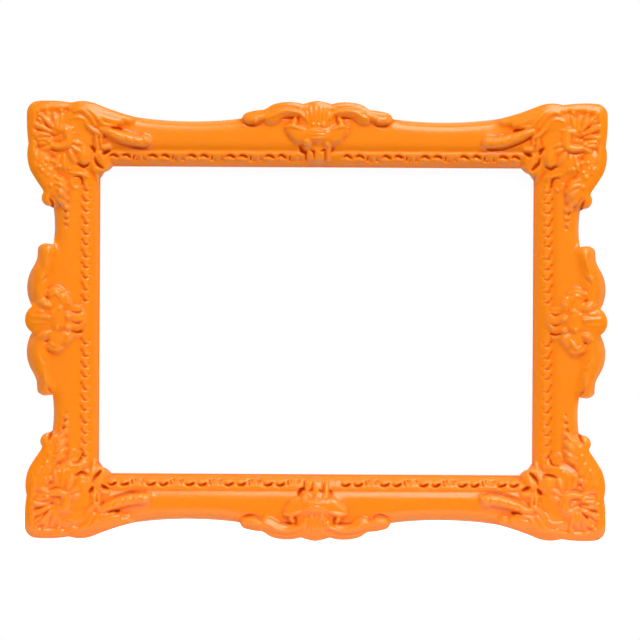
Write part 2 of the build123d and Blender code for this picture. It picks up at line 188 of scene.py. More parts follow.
# Opening, whose corners are filled by a carved curl
curl_points = [(80.8, sight_z), (81.6, 59.8), (82.7, 58.9), (84.1, 58.4), (84.8, 57.2), (sight_x, 56.1)]
hole = all_round(np.array([(0.0, sight_z)] + curl_points + [(sight_x, 0.0)]))

# Grid over the front, worked out on one quarter and mirrored
columns = math.ceil(corner_x / step) + 1
rows = math.ceil((rail_z + top_crest_rise) / step) + 1
quarter_x, quarter_z = np.meshgrid(np.arange(columns) * step, np.arange(rows) * step, indexing="ij")
flat_x, flat_z = quarter_x.ravel(), quarter_z.ravel()
contour = outline_loop(wall_inset, step)
contour_gap, contour_near, _ = nearest_on(contour[: len(contour) // 4 + 2], flat_x, flat_z, closed=False)
contour_gap = np.where(is_within(contour, flat_x, flat_z), contour_gap, -contour_gap)
hole_gap, hole_near, _ = nearest_on(hole, flat_x, flat_z)
hole_gap = np.where(is_within(hole, flat_x, flat_z), -hole_gap, hole_gap)


def mirrored(values, sign_x=1, sign_z=1):
    """Whole grid from its quarter at positive X and Z."""
    quarter = values.reshape(columns, rows)
    half = np.concatenate([sign_x * quarter[:0:-1], quarter], 0)
    return np.concatenate([sign_z * half[:, :0:-1], half], 1)


grid_x = mirrored(flat_x, -1, 1)
grid_z = mirrored(flat_z, 1, -1)
outer_gap = mirrored(contour_gap)
inner_gap = mirrored(hole_gap)

# The short rails have the section of the long ones, stretched a little outward
side_narrowing = 0.9
across = np.maximum((np.abs(grid_x) - sight_x) * side_narrowing, np.abs(grid_z) - sight_z)
inward = outer_gap + wall_inset


def smooth_max(a, b, soft):
    """The higher of two heights, with the crease between them filled like a moulded one."""
    near = np.clip(1 - np.abs(a - b) / soft, 0, None)
    return np.maximum(a, b) + near * near * soft / 4


def smooth_min(a, b, soft):
    """The lower of two heights, with the ridge between them rounded."""
    return -smooth_max(-a, -b, soft)


def rail_section(t):
    """Height of the plain rail across its width: bevel, strip, bead, foot and face."""
    places, rises = np.array(rail_profile).T
    return sight_level + np.interp(t, places, rises)


shoulder_power, wall_fall, shoulder_blend = 1.7, 3.0, 0.8


def shoulder(d):
    """Rounded shoulder from the top of the drafted wall up to the crown, falling outside the wall."""
    share = np.clip((d - wall_inset) / (crown_inset - wall_inset), 0, 1)
    rounded = wall_level + (crown_level - wall_level) * np.sqrt(1 - (1 - share) ** shoulder_power)
    return rounded - wall_fall * np.clip(wall_inset - d, 0, None)


height = smooth_min(rail_section(across), shoulder(inward), shoulder_blend)

# Strokes of the carving. Each row of a stroke is a place, half a width and a level; the line runs
# smoothly through its rows. Places are for the top right and are mirrored to the other corners and
# crests, with the looseness of a hand: in full for the place, less for the half width and level.
left_x, low_z = grid_x[0, 0], grid_z[0, 0]
loose_shares = (1, 1, 0.3, 0.4)
hand_looseness = 0.18


def smooth_line(rows_in, per_row=7):
    """Catmull-Rom line through the rows of a stroke."""
    given = np.array(rows_in, float)
    if len(given) < 3:
        share = np.linspace(0, 1, per_row)[:, None]
        return given if len(given) == 1 else given[0] * (1 - share) + given[1] * share
    ends = np.concatenate([2 * given[:1] - given[1:2], given, 2 * given[-1:] - given[-2:-1]])
    line = []
    for a, b, c, d in zip(ends, ends[1:], ends[2:], ends[3:]):
        s = np.linspace(0, 1, per_row, endpoint=False)[:, None]
        line.append(0.5 * (2 * b + (c - a) * s + (2 * a - 5 * b + 4 * c - d) * s ** 2
                           + (3 * b - a - 3 * c + d) * s ** 3))
    return np.concatenate(line + [given[-1:]])


def placed(stroke, place):
    """Stroke mirrored into a corner or crest: a place is two signs, a random draw and its looseness."""
    sign_x, sign_z, draw, looseness = place
    line = np.array(stroke, float)
    line = line + draw.uniform(-looseness, looseness, line.shape) * loose_shares
    line[:, 0] *= sign_x
    line[:, 1] *= sign_z
    return line


def near_stroke(line, reach):
    """Window of the grid round a stroke, with the distance to it, its half width and its level."""
    low = np.floor((line[:, :2].min(0) - reach - (left_x, low_z)) / step).astype(int)
    high = np.ceil((line[:, :2].max(0) + reach - (left_x, low_z)) / step).astype(int) + 1
    low = np.maximum(low, 0)
    window = (slice(low[0], high[0]), slice(low[1], high[1]))
    x, z = grid_x[window], grid_z[window]
    if len(line) == 1:
        gap = np.hypot(x - line[0, 0], z - line[0, 1])
        return window, gap, np.full(x.shape, line[0, 2]), np.full(x.shape, line[0, 3])
    gap, _, along = nearest_on(line[:, :2], x.ravel(), z.ravel(), closed=False)
    k = np.minimum(along.astype(int), len(line) - 2)
    s = along - k
    half = line[k, 2] * (1 - s) + line[k + 1, 2] * s
    level = line[k, 3] * (1 - s) + line[k + 1, 3] * s
    return window, gap.reshape(x.shape), half.reshape(x.shape), level.reshape(x.shape)


def raise_stroke(stroke, place, droop=1.0, soft=0.5, side_slope=3.0, side_reach=3.0):
    """A rounded ridge along the stroke, or a round bump where it has one row."""
    line = smooth_line(placed(stroke, place))
    window, gap, half, level = near_stroke(line, line[:, 2].max() + side_reach)
    dome = level - droop * np.minimum(gap / half, 1) ** 2 - side_slope * np.clip(gap - half, 0, None)
    height[window] = smooth_max(height[window], dome, soft)


def cut_stroke(stroke, place):
    """A rounded groove along the stroke, or a round pit; its level is its depth."""
    line = smooth_line(placed(stroke, place))
    window, gap, half, depth = near_stroke(line, line[:, 2].max())
    height[window] -= depth * (1 - np.minimum(gap / half, 1) ** 2) ** 2


# Egg and block strip: two eggs and a reeded block, again and again, from left to right along the
# long rails, and one large egg and two small ones from bottom to top along the short rails
long_motifs = [("egg", 4.6), ("egg", 4.6), ("block", 5.3)]
short_motifs = [("egg", 4.8), ("egg", 3.7), ("egg", 3.7)]
motif_space = 0.3
long_strip, short_strip = (2.5, 4.5), (4.0, 6.2)
groove_half, groove_depth, body_rise = 0.7, 2.4, 0.35
tick_half, tick_depth, tick_lean = 0.45, 1.9, 0.2
# Ticks of a block: share of its length, start and stop outward of the foot, share of the depth
block_ticks = [(-0.42, 0.2, 1.6, 1.0), (-0.2, -0.1, 0.5, 0.8), (0.02, 0.0, 0.4, 0.5), (0.26, 0.1, 1.1, 0.9),
               (0.42, 0.0, 0.6, 0.7)]
long_start, long_clear = -82.8, (8.6, 81.8)
short_start, short_clear = -55.0, (6.6, 53.5)
strip_units, strip_seed, strip_looseness = 12, 11, 0.1
strip_draw = np.random.default_rng(strip_seed)


def carve_motif(kind, middle, length, turned, side):
    """One egg or block of the strip; side is the sign of its rail and turned marks a short rail."""
    edge = sight_x if turned else sight_z
    foot, crown = short_strip if turned else long_strip

    def at(along, out, half, level):
        place = (edge + out) * side
        return (place, middle + along, half, level) if turned else (middle + along, place, half, level)

    def on_rail(along, out, half, rise):
        narrowing = side_narrowing if turned else 1.0
        return at(along, out, half, rise + float(rail_section(out * narrowing)))

    still = (1, 1, strip_draw, strip_looseness)
    if kind == "block":
        for share, start, stop, depth in block_ticks:
            cut_stroke([at(length * share, foot + start, tick_half, tick_depth * depth),
                        at(length * share + tick_lean, foot + stop, tick_half, tick_depth * depth)], still)
        reed = [on_rail(length * 0.14, foot + 0.2, 0.4, 0.3), on_rail(length * 0.14, foot + 1.2, 0.5, 0.5)]
        raise_stroke(reed, still, droop=0.5, soft=0.2)
        return
    reach, tall = length / 2 - groove_half, crown - foot
    body = [on_rail(end * reach * 0.35, foot + tall * 0.4, reach * 0.62, body_rise) for end in (-1, 1)]
    raise_stroke(body, still, droop=0.7, soft=0.4, side_slope=2.0)
    if turned:
        arc = [at(reach * 0.9, crown + 1.1, groove_half * 0.6, groove_depth * 0.4),
               at(reach * 0.1, crown + 0.3, groove_half * 0.6, groove_depth * 0.35),
               at(-reach * 0.5, crown, groove_half * 0.7, groove_depth * 0.5),
               at(-reach * 0.8, crown - 0.6, groove_half * 0.75, groove_depth * 0.6),
               at(-reach * 0.7, foot + 0.4, groove_half * 0.5, groove_depth * 0.3)]
        tick = [at(reach * 0.5, foot + 0.5, tick_half, tick_depth * 0.45),
                at(reach * 0.2, foot - 0.3, tick_half, tick_depth * 0.35)]
        cut_stroke(tick, still)
    else:
        arc = [at(-reach, foot + tall * 0.6, groove_half * 0.7, groove_depth * 0.45),
               at(-reach * 0.55, crown - 0.1, groove_half * 0.9, groove_depth * 0.8),
               at(reach * 0.1, crown, groove_half, groove_depth),
               at(reach * 0.7, crown - 0.45, groove_half, groove_depth),
               at(reach * 1.1, crown - 0.9, groove_half * 0.8, groove_depth * 0.6)]
    cut_stroke(arc, still)


def carve_strip(motifs, start, clear, turned, side):
    """The strip of one rail, clear of the crest in its middle and of the corners."""
    for _ in range(strip_units):
        for kind, length in motifs:
            middle = start + length / 2
            if clear[0] < abs(middle) < clear[1]:
                carve_motif(kind, middle, length, turned, side)
            start += length + motif_space


for side in (1, -1):
    carve_strip(long_motifs, long_start, long_clear, False, side)
    carve_strip(short_motifs, short_start, short_clear, True, side)

# Corner carving: a smooth rim of lobes, a shell fan in the corner, a thick C scroll at its foot,
# rays round the scroll, leaves along both rails and a thumb and a curl at the corner of the opening
corner_ground = [
    [(105.5, 75.5, 8.5, 11.7), (98.0, 72.0, 9.0, 11.7), (91.5, 66.5, 6.5, 11.0), (86.6, 62.4, 4.2, 9.4)],
    [(99.0, 62.0, 5.0, 11.6), (95.0, 58.5, 3.6, 10.6), (92.0, 57.0, 2.0, 9.4)],
    [(109.0, 64.0, 3.4, 12.1), (106.6, 57.0, 3.6, 12.1), (104.2, 51.5, 3.4, 12.0), (102.6, 48.2, 2.2, 11.9)],
    [(96.0, 79.5, 3.5, 11.9), (90.0, 79.0, 3.5, 11.9), (85.0, 77.0, 2.6, 11.6)],
]
corner_rim = [
    [(97.5, 84.4, 1.7, 12.4), (92.0, 84.4, 2.1, 12.6), (86.5, 82.8, 2.2, 12.3), (80.0, 80.3, 1.9, 11.9),
     (74.0, 78.9, 1.4, 11.3)],
    [(111.6, 83.6, 1.8, 12.5), (105.5, 84.6, 1.7, 12.4), (100.2, 84.5, 1.5, 12.3)],
    [(111.9, 83.4, 1.8, 12.5), (113.0, 77.5, 1.7, 12.5), (112.9, 72.0, 1.5, 12.3)],
    [(112.5, 69.0, 1.9, 12.3), (113.2, 64.4, 2.3, 12.5), (112.0, 59.0, 2.3, 12.4), (109.0, 53.6, 2.0, 12.2),
     (107.2, 50.4, 1.8, 12.1)],
]
fan_bowls = [[(108.0, 77.6, 4.6, 0.9)], [(103.6, 79.0, 3.2, 0.5)], [(104.8, 71.6, 2.2, 0.7)]]
fan_ribs = [
    [(104.2, 75.6, 0.6, 12.7), (106.0, 77.6, 0.85, 13.2), (108.0, 79.8, 0.8, 13.1), (109.4, 81.2, 0.4, 12.3)],
    [(103.1, 75.4, 0.4, 12.6), (103.5, 77.6, 0.55, 12.8), (104.0, 80.7, 0.6, 12.5)],
    [(102.6, 75.2, 0.4, 12.6), (102.7, 77.4, 0.6, 12.8), (102.8, 80.0, 0.5, 12.4)],
    [(101.6, 76.4, 0.5, 12.4), (101.0, 78.8, 0.6, 12.4), (100.6, 81.0, 0.5, 12.1)],
    [(104.8, 77.6, 0.4, 12.3), (106.0, 80.2, 0.6, 12.4), (107.0, 82.2, 0.5, 12.2)],
    [(105.0, 74.2, 0.6, 12.6), (107.6, 75.4, 0.9, 12.8), (111.3, 77.0, 0.9, 12.6)],
    [(107.8, 77.4, 0.4, 12.2), (110.2, 79.2, 0.6, 12.3)],
    [(105.4, 72.7, 0.5, 12.5), (108.2, 73.2, 0.8, 12.7), (111.4, 72.9, 0.8, 12.7)],
    [(106.9, 71.2, 0.6, 12.6), (110.2, 71.0, 0.7, 12.5)],
    [(106.4, 69.2, 0.5, 12.4), (109.5, 69.5, 0.7, 12.4)],
    [(104.4, 68.4, 0.5, 12.4), (106.1, 67.9, 0.7, 12.6), (108.0, 67.1, 0.6, 12.4)],
    [(112.0, 67.6, 0.7, 12.7), (111.7, 65.3, 0.8, 12.8), (110.6, 63.2, 0.6, 12.5)],
]
rim_beads = [
    (111.9, 81.2, 0.75, 12.9), (110.3, 82.2, 0.7, 12.9), (106.9, 83.5, 0.7, 12.9), (109.7, 80.7, 0.6, 12.9),
    (112.6, 78.6, 0.6, 12.8), (112.7, 74.9, 0.6, 12.7), (111.0, 72.7, 0.85, 13.1), (105.9, 70.3, 0.95, 13.1),
    (110.9, 76.9, 0.9, 13.0), (101.2, 82.5, 0.8, 12.5), (101.4, 72.5, 0.6, 12.5), (102.3, 71.6, 0.5, 12.3),
]
scroll = [(101.4, 74.9, 1.2, 12.9), (99.3, 75.0, 1.5, 13.2), (98.4, 72.8, 1.6, 13.3), (98.3, 70.3, 1.6, 13.3),
          (99.7, 68.6, 1.6, 13.3), (102.2, 68.2, 1.5, 13.2), (104.5, 68.7, 1.1, 12.8)]
leaf_cuts = [
    [(80.6, 75.0, 0.4, 0.6), (79.7, 72.4, 0.5, 0.7)], [(76.3, 73.4, 0.4, 0.5), (75.5, 70.6, 0.5, 0.6)],
    [(72.8, 72.4, 0.4, 0.5), (72.1, 69.9, 0.5, 0.6)], [(69.2, 71.9, 0.4, 0.5), (68.6, 69.4, 0.5, 0.6)],
]
scroll_grooves = [[(97.9, 74.4, 0.4, 0.35), (97.5, 72.0, 0.45, 0.45), (97.8, 69.4, 0.4, 0.4)]]
inner_rays = [
    [(97.4, 77.4, 0.6, 11.7), (94.6, 78.2, 0.8, 11.6), (91.8, 77.6, 0.6, 11.4)],
    [(97.2, 75.4, 0.6, 12.3), (94.6, 75.8, 0.7, 11.4), (92.4, 75.4, 0.5, 11.2)],
    [(97.2, 73.2, 0.6, 12.3), (94.6, 73.5, 0.8, 11.6), (92.2, 73.2, 0.6, 11.3)],
    [(96.6, 71.6, 0.6, 11.7), (94.0, 71.5, 0.8, 11.5), (91.8, 71.0, 0.6, 11.1)],
    [(96.6, 70.3, 0.6, 12.3), (94.9, 69.8, 0.85, 12.7), (92.6, 69.0, 0.6, 11.7)],
    [(96.7, 68.2, 0.6, 12.4), (94.6, 66.9, 0.9, 12.4), (92.8, 65.7, 0.5, 11.6)],
    [(97.9, 66.6, 0.7, 12.6), (97.0, 64.6, 1.0, 12.8), (95.8, 62.3, 0.7, 12.1)],
    [(99.9, 65.0, 0.5, 12.1), (99.8, 62.6, 0.8, 12.2), (99.5, 60.0, 0.8, 12.4)],
    [(102.0, 64.6, 0.4, 12.1), (102.4, 62.4, 0.6, 12.3), (102.8, 60.4, 0.7, 12.5)],
]
thumb = [(92.6, 67.6, 2.1, 11.6), (92.5, 65.2, 2.7, 11.9), (92.4, 63.4, 2.4, 11.5)]
curl = [
    [(88.3, 64.0, 0.9, 10.2), (88.6, 61.6, 1.0, 9.8), (87.9, 58.9, 1.1, 9.0), (87.2, 55.6, 0.8, 7.6)],
    [(85.6, 65.2, 1.2, 10.3), (84.8, 62.9, 1.6, 9.6), (83.4, 61.4, 1.5, 8.6), (81.2, 61.4, 0.9, 7.2)],
    [(84.4, 68.2, 1.0, 11.0), (82.3, 68.4, 1.0, 10.8)],
    [(87.3, 72.6, 0.65, 12.0), (87.2, 70.2, 0.75, 11.8), (87.0, 68.2, 0.7, 11.0)],
    [(85.5, 71.8, 0.55, 11.8), (85.5, 70.2, 0.6, 11.5), (85.4, 69.0, 0.5, 10.8)],
]
high_leaves = [
    [(97.4, 79.2, 0.6, 12.5), (95.2, 79.9, 0.7, 12.6), (92.8, 79.3, 0.7, 12.5), (90.4, 77.4, 0.6, 12.2)],
    [(95.8, 82.3, 0.8, 12.7), (93.4, 82.9, 0.9, 12.9), (91.2, 81.7, 0.9, 12.9), (89.2, 79.6, 0.9, 12.8),
     (87.6, 77.1, 0.8, 12.4)],
    [(91.4, 83.6, 0.7, 12.8), (88.6, 81.8, 0.9, 13.0), (86.3, 79.4, 0.9, 13.1), (84.3, 76.9, 0.8, 12.4)],
    [(88.4, 81.4, 0.9, 12.6), (84.6, 79.7, 1.2, 12.5), (80.6, 78.5, 1.4, 12.3), (77.9, 78.1, 1.3, 12.1)],
    [(86.0, 77.4, 0.8, 12.2), (82.6, 76.9, 0.9, 12.3), (79.8, 76.9, 0.8, 12.0)],
    [(85.4, 75.4, 0.8, 12.3), (83.4, 74.4, 1.4, 12.7), (80.2, 73.0, 1.8, 12.9), (76.4, 71.8, 1.9, 12.8),
     (72.4, 70.9, 1.9, 12.6), (68.6, 70.4, 1.8, 12.4), (66.6, 70.2, 1.2, 12.0)],
    [(91.4, 77.6, 0.6, 12.2), (89.4, 75.6, 0.8, 12.5), (87.2, 73.8, 0.8, 12.5), (85.4, 72.6, 0.6, 12.0)],
]
leaf_ripples = [
    [(85.0, 75.0, 0.6, 12.8), (81.6, 74.2, 0.7, 13.2), (78.4, 73.2, 0.5, 12.8)],
    [(78.6, 72.9, 0.5, 12.6), (75.8, 72.4, 0.7, 12.7), (73.0, 71.6, 0.5, 12.4)],
    [(72.8, 71.9, 0.5, 12.6), (71.2, 71.0, 0.6, 12.7), (69.2, 71.0, 0.5, 12.4)],
    [(68.6, 71.6, 0.5, 12.5), (67.3, 71.2, 0.6, 12.7), (66.5, 70.2, 0.5, 12.2)],
]
side_leaves = [
    [(103.6, 54.0, 0.5, 12.4), (101.9, 53.6, 0.7, 13.0), (100.4, 52.7, 0.75, 13.1), (98.9, 51.2, 0.6, 12.2)],
    [(103.0, 52.0, 0.6, 12.4), (101.7, 50.9, 0.9, 13.1), (100.6, 49.6, 1.1, 13.4), (99.4, 48.0, 0.8, 12.3)],
    [(103.3, 56.0, 0.5, 12.4), (101.0, 54.8, 0.7, 12.7), (99.4, 53.9, 0.5, 12.0)],
    [(101.8, 47.6, 0.7, 12.3), (100.4, 46.0, 0.8, 12.2), (99.8, 44.8, 0.6, 11.8)],
]
side_bumps = [
    (109.4, 60.0, 1.0, 13.1), (108.5, 58.7, 0.9, 13.0), (107.4, 60.6, 0.6, 12.8), (108.4, 61.6, 0.6, 12.8),
    (106.6, 62.9, 0.8, 12.8), (104.5, 62.8, 0.8, 12.8), (102.9, 61.6, 0.8, 12.8), (101.4, 60.2, 0.7, 12.5),
    (99.3, 60.4, 0.7, 12.5), (97.8, 59.6, 0.6, 12.0), (106.2, 56.8, 1.2, 12.9), (105.1, 53.0, 1.0, 12.9),
    (104.9, 58.9, 0.9, 12.6), (98.7, 44.2, 1.0, 11.8), (98.6, 41.2, 0.9, 11.5), (98.6, 38.5, 0.8, 11.3),
]
knob = [(106.9, 49.6, 1.6, 12.3), (107.2, 47.4, 1.9, 12.4), (106.4, 45.8, 1.6, 12.0)]
strip_tab = [
    [(97.6, 58.3, 0.7, 11.4), (95.2, 57.8, 0.9, 11.0), (92.9, 57.4, 0.8, 10.4), (90.8, 56.6, 0.7, 9.4)],
    [(97.2, 54.6, 0.45, 10.9), (96.6, 52.7, 0.5, 10.8), (95.4, 51.7, 0.5, 10.7), (94.3, 52.4, 0.4, 10.4)],
]
corner_pits = [
    [(112.4, 75.3, 0.4, 0.5), (108.4, 74.3, 0.5, 0.8), (106.2, 73.4, 0.65, 0.9), (103.8, 72.5, 0.8, 1.0),
     (102.4, 73.0, 0.6, 0.7)],
    [(108.0, 78.2, 0.45, 0.9), (106.6, 76.6, 0.5, 1.0), (105.2, 75.2, 0.4, 0.7)],
    [(103.3, 78.6, 0.3, 0.7), (103.1, 77.2, 0.3, 0.6)],
    [(107.6, 72.1, 0.4, 0.6), (105.4, 72.0, 0.5, 0.7)],
    [(103.8, 70.2, 0.5, 0.6), (101.2, 70.2, 0.6, 0.6)],
    [(105.0, 67.0, 0.6, 0.6), (102.6, 66.6, 0.8, 1.0), (100.2, 66.8, 0.7, 1.0), (98.2, 67.6, 0.5, 0.6)],
    [(95.4, 61.6, 0.6, 0.8), (94.0, 61.1, 0.9, 1.6), (92.5, 60.6, 0.9, 1.9), (91.0, 60.8, 0.8, 1.4),
     (90.0, 61.6, 0.5, 0.6)],
    [(89.6, 68.4, 0.7, 1.2), (88.5, 67.3, 1.1, 2.8), (87.8, 66.1, 0.7, 1.6)],
    [(87.8, 64.6, 0.5, 1.2), (87.5, 62.8, 0.8, 2.0), (86.4, 61.4, 1.0, 2.7), (85.0, 59.9, 0.8, 2.0)],
    [(85.0, 65.3, 0.5, 1.0), (83.6, 65.9, 0.9, 2.4), (82.0, 66.6, 0.6, 1.3)],
    [(88.9, 71.4, 0.4, 0.8), (88.8, 68.6, 0.5, 1.2)],
    [(86.3, 71.8, 0.3, 0.8), (86.2, 69.2, 0.3, 0.8)],
    [(81.6, 76.1, 0.4, 1.0), (79.8, 75.5, 0.6, 1.8), (77.6, 75.4, 0.5, 1.4)],
    [(84.4, 73.0, 0.7, 0.8), (82.0, 71.9, 0.9, 1.2), (79.4, 70.4, 1.1, 1.2), (77.0, 69.4, 1.1, 1.1),
     (73.6, 68.6, 1.0, 1.1), (70.8, 68.2, 0.9, 1.3), (68.2, 68.2, 0.8, 1.0), (66.2, 68.6, 0.6, 0.6)],
    [(105.6, 47.9, 0.5, 0.9), (104.7, 46.0, 0.8, 2.3), (104.3, 44.2, 0.7, 2.2)],
    [(104.2, 48.7, 0.5, 1.0), (102.8, 46.7, 0.6, 1.2), (100.4, 44.8, 0.5, 0.8)],
    [(95.8, 56.5, 0.4, 1.4), (94.0, 56.5, 0.5, 1.9), (93.1, 55.6, 0.5, 1.8), (92.6, 54.0, 0.4, 1.3),
     (91.8, 52.6, 0.35, 0.9)],
    [(95.6, 53.6, 0.4, 0.5)],
    [(100.0, 43.4, 0.5, 0.9), (99.2, 42.2, 0.5, 1.2)],
    [(99.8, 40.2, 0.45, 0.9), (98.8, 39.6, 0.55, 1.3)],
    [(99.2, 37.2, 0.5, 0.7), (98.3, 36.6, 0.5, 0.9)],
]
corner_seed = 20

for number, (side_x, side_z) in enumerate([(-1, 1), (1, 1), (-1, -1), (1, -1)]):
    place = (side_x, side_z, np.random.default_rng(corner_seed + number), hand_looseness)
    for stroke in corner_ground:
        raise_stroke(stroke, place, droop=0.9, soft=1.0, side_slope=1.5)
    for stroke in corner_rim:
        raise_stroke(stroke, place, droop=1.0, soft=0.8, side_slope=1.5)
    for pit in fan_bowls:
        cut_stroke(pit, place)
    raise_stroke(thumb, place, droop=0.9, soft=0.4)
    for stroke in fan_ribs + inner_rays + side_leaves:
        raise_stroke(stroke, place, droop=0.7, soft=0.35, side_slope=2.0)
    for stroke in high_leaves:
        raise_stroke(stroke, place, droop=0.8, soft=0.3)
    for stroke in curl + strip_tab:
        raise_stroke(stroke, place, droop=1.0, soft=0.3)
    raise_stroke(knob, place, droop=1.2, soft=0.4)
    for stroke in leaf_ripples:
        raise_stroke(stroke, place, droop=0.6, soft=0.3, side_slope=1.5)
    for bump in rim_beads + side_bumps:
        raise_stroke([bump], place, droop=0.8, soft=0.35)
    raise_stroke(scroll, place, droop=1.0, soft=0.3)
    for pit in corner_pits + leaf_cuts + scroll_grooves:
        cut_stroke(pit, place)

# Crests of the long rails: scroll arms on both sides of a reeded fan, over a boss between wings,
# with leaf tips that hang over the strip. Places are along the rail and out of the opening.
crest_ground = [(0.0, 80.0, 7.0, 11.9), (0.0, 73.0, 7.0, 11.7), (0.0, 68.5, 5.0, 10.6)]
crest_arm = [(5.0, 84.0, 2.2, 11.4), (12.0, 84.4, 2.4, 11.4), (19.0, 82.4, 2.4, 11.3),
             (27.0, 80.4, 2.2, 11.1)]
crest_halves = [
    [(5.0, 79.8, 0.8, 12.3), (5.6, 81.2, 0.8, 12.6), (7.2, 82.2, 0.8, 12.8), (9.6, 82.8, 0.9, 12.9),
     (12.4, 82.9, 0.9, 12.9), (15.0, 82.3, 0.9, 12.8), (17.6, 80.9, 1.0, 12.6), (20.0, 79.8, 1.0, 12.2)],
    [(8.0, 81.6, 1.2, 11.4), (11.6, 81.8, 1.3, 11.5), (14.8, 81.0, 1.4, 11.6), (17.4, 79.5, 1.5, 11.7),
     (19.2, 78.9, 1.5, 11.7)],
    [(19.6, 81.2, 1.2, 11.9), (22.4, 80.3, 1.4, 12.3), (25.0, 79.5, 1.5, 12.5), (27.2, 79.4, 1.5, 12.3)],
    [(15.4, 83.4, 0.4, 12.6), (19.5, 81.9, 0.4, 12.8), (24.0, 80.6, 0.4, 13.0), (27.6, 80.3, 0.4, 12.8)],
    [(8.7, 79.6, 0.7, 12.3), (9.4, 78.2, 0.9, 12.4), (9.0, 77.2, 0.7, 12.2)],
    [(12.0, 76.4, 0.5, 12.3), (10.2, 76.7, 0.8, 12.9), (7.4, 76.0, 0.85, 12.9), (5.4, 75.4, 0.6, 12.5)],
    [(24.4, 79.0, 0.8, 13.4)],
]
crest_wing = [[(5.0, 73.6, 3.0, 12.1), (8.2, 74.0, 2.7, 12.0), (10.6, 75.0, 1.7, 11.8)],
              [(6.6, 71.6, 1.6, 11.9), (8.2, 72.2, 1.5, 11.8)]]
crest_grooves = [
    [(19.0, 82.9, 0.5, 0.4), (15.6, 84.1, 0.5, 0.5), (11.4, 84.4, 0.5, 0.5), (7.6, 83.7, 0.5, 0.5)],
    [(28.6, 77.6, 0.6, 0.6), (26.4, 76.8, 0.8, 1.0), (24.0, 76.9, 0.7, 0.8), (22.4, 77.8, 0.5, 0.5)],
    [(14.4, 79.9, 0.5, 0.6), (11.2, 80.0, 0.6, 0.9), (8.0, 80.0, 0.5, 0.8), (7.3, 78.6, 0.4, 0.6)],
]
crest_reeds = [[(x, 78.8, 0.4, 12.3), (x * 1.1, 81.6, 0.4, 12.4), (x * 1.25, 84.2, 0.4, 11.9)]
               for x in (-2.3, -0.8, 0.8, 2.3)]
crest_reeds += [[(x, 78.4, 0.4, 12.5), (x * 1.12, 80.0, 0.5, 12.7), (x * 1.22, 82.0, 0.4, 12.5)]
                for x in (-3.6, 3.6)]
boss_reeds = [[(-2.7, z, 0.35, 13.3), (0.0, z - 0.2, 0.45, top_level), (2.7, z, 0.35, 13.3)]
              for z in (74.9, 73.6, 72.2)]
crest_tips = [[(x, 69.6, 1.0, 11.3), (x, 66.8, 1.0, 10.3), (x, 63.8, 0.7, 9.1)] for x in (-2.9, 0.7, 4.5)]
tip_grooves = [[(x, 66.9, 0.5, 1.6), (x, 65.0, 0.5, 1.7), (x, 63.4, 0.4, 1.0)] for x in (-4.5, -1.2, 3.1)]
tip_grooves += [
    [(-6.9, 68.8, 0.6, 1.2), (-6.0, 67.2, 0.9, 2.2), (-4.9, 66.4, 0.8, 2.2)],
    [(-2.6, 67.5, 0.6, 1.2), (-1.6, 66.8, 0.6, 1.8)], [(1.5, 67.0, 0.6, 1.2), (2.8, 67.5, 0.7, 1.8)],
    [(6.6, 68.6, 0.5, 0.7), (5.9, 67.2, 0.7, 1.0)],
]
tip_beads = [(-3.9, 70.5, 1.4, 13.2), (0.4, 70.7, 0.8, 12.6), (3.9, 70.0, 1.0, 12.2)]
tip_beads += [(x, 77.4, 0.7, 12.8) for x in (-1.7, 0.4)] + [(2.4, 77.4, 0.9, 13.3)]
crest_boss = [(-2.2, 73.4, 2.7, 12.8), (2.2, 73.4, 2.7, 12.8)]
crest_seed = 40

for side_z in (1, -1):
    draw = np.random.default_rng(crest_seed + side_z)
    whole = (1, side_z, draw, hand_looseness / 2)
    raise_stroke(crest_ground, whole, droop=1.2, soft=1.0, side_slope=1.5)
    for side_x in (1, -1):
        place = (side_x, side_z, draw, hand_looseness)
        raise_stroke(crest_arm, place, droop=0.8, soft=0.8, side_slope=1.5)
        for stroke in crest_wing:
            raise_stroke(stroke, place, droop=0.8, soft=0.4)
        for stroke in crest_halves:
            raise_stroke(stroke, place, droop=1.0, soft=0.35)
    raise_stroke(crest_boss, whole, droop=0.8, soft=0.4)
    for stroke in crest_reeds + boss_reeds:
        raise_stroke(stroke, whole, droop=0.6, soft=0.2)
    for stroke in crest_tips:
        raise_stroke(stroke, whole, droop=0.9, soft=0.3)
    for bead in tip_beads:
        raise_stroke([bead], whole, droop=0.8, soft=0.3)
    for groove in tip_grooves:
        cut_stroke(groove, whole)
    for side_x in (1, -1):
        for groove in crest_grooves:
            cut_stroke(groove, (side_x, side_z, draw, hand_looseness))

# Crests of the short rails: the same parts turned and softer, with bars in place of the leaf tips
# and a deep cut at the foot of the lower lobe
side_ground = [(108.5, 0.0, 6.5, 11.7), (102.0, 0.2, 7.0, 11.5), (97.0, 0.2, 5.5, 10.9)]
side_lobe = [(108.4, 7.6, 2.6, 11.5), (109.2, 12.0, 3.2, 11.6), (108.6, 18.0, 3.0, 11.6),
             (107.0, 23.0, 2.6, 11.6), (106.2, 27.2, 2.6, 11.7)]
side_halves = [
    [(109.2, 14.6, 0.8, 12.1), (108.6, 16.6, 1.0, 12.4), (107.4, 18.4, 0.8, 12.1)],
    [(107.6, 19.4, 0.5, 12.0), (107.0, 21.4, 0.8, 12.4), (106.6, 24.4, 0.9, 12.5), (106.0, 26.6, 0.6, 12.0)],
    [(105.4, 5.2, 0.8, 12.6), (107.2, 6.0, 1.2, 13.1), (108.8, 7.0, 0.9, 12.4)],
]
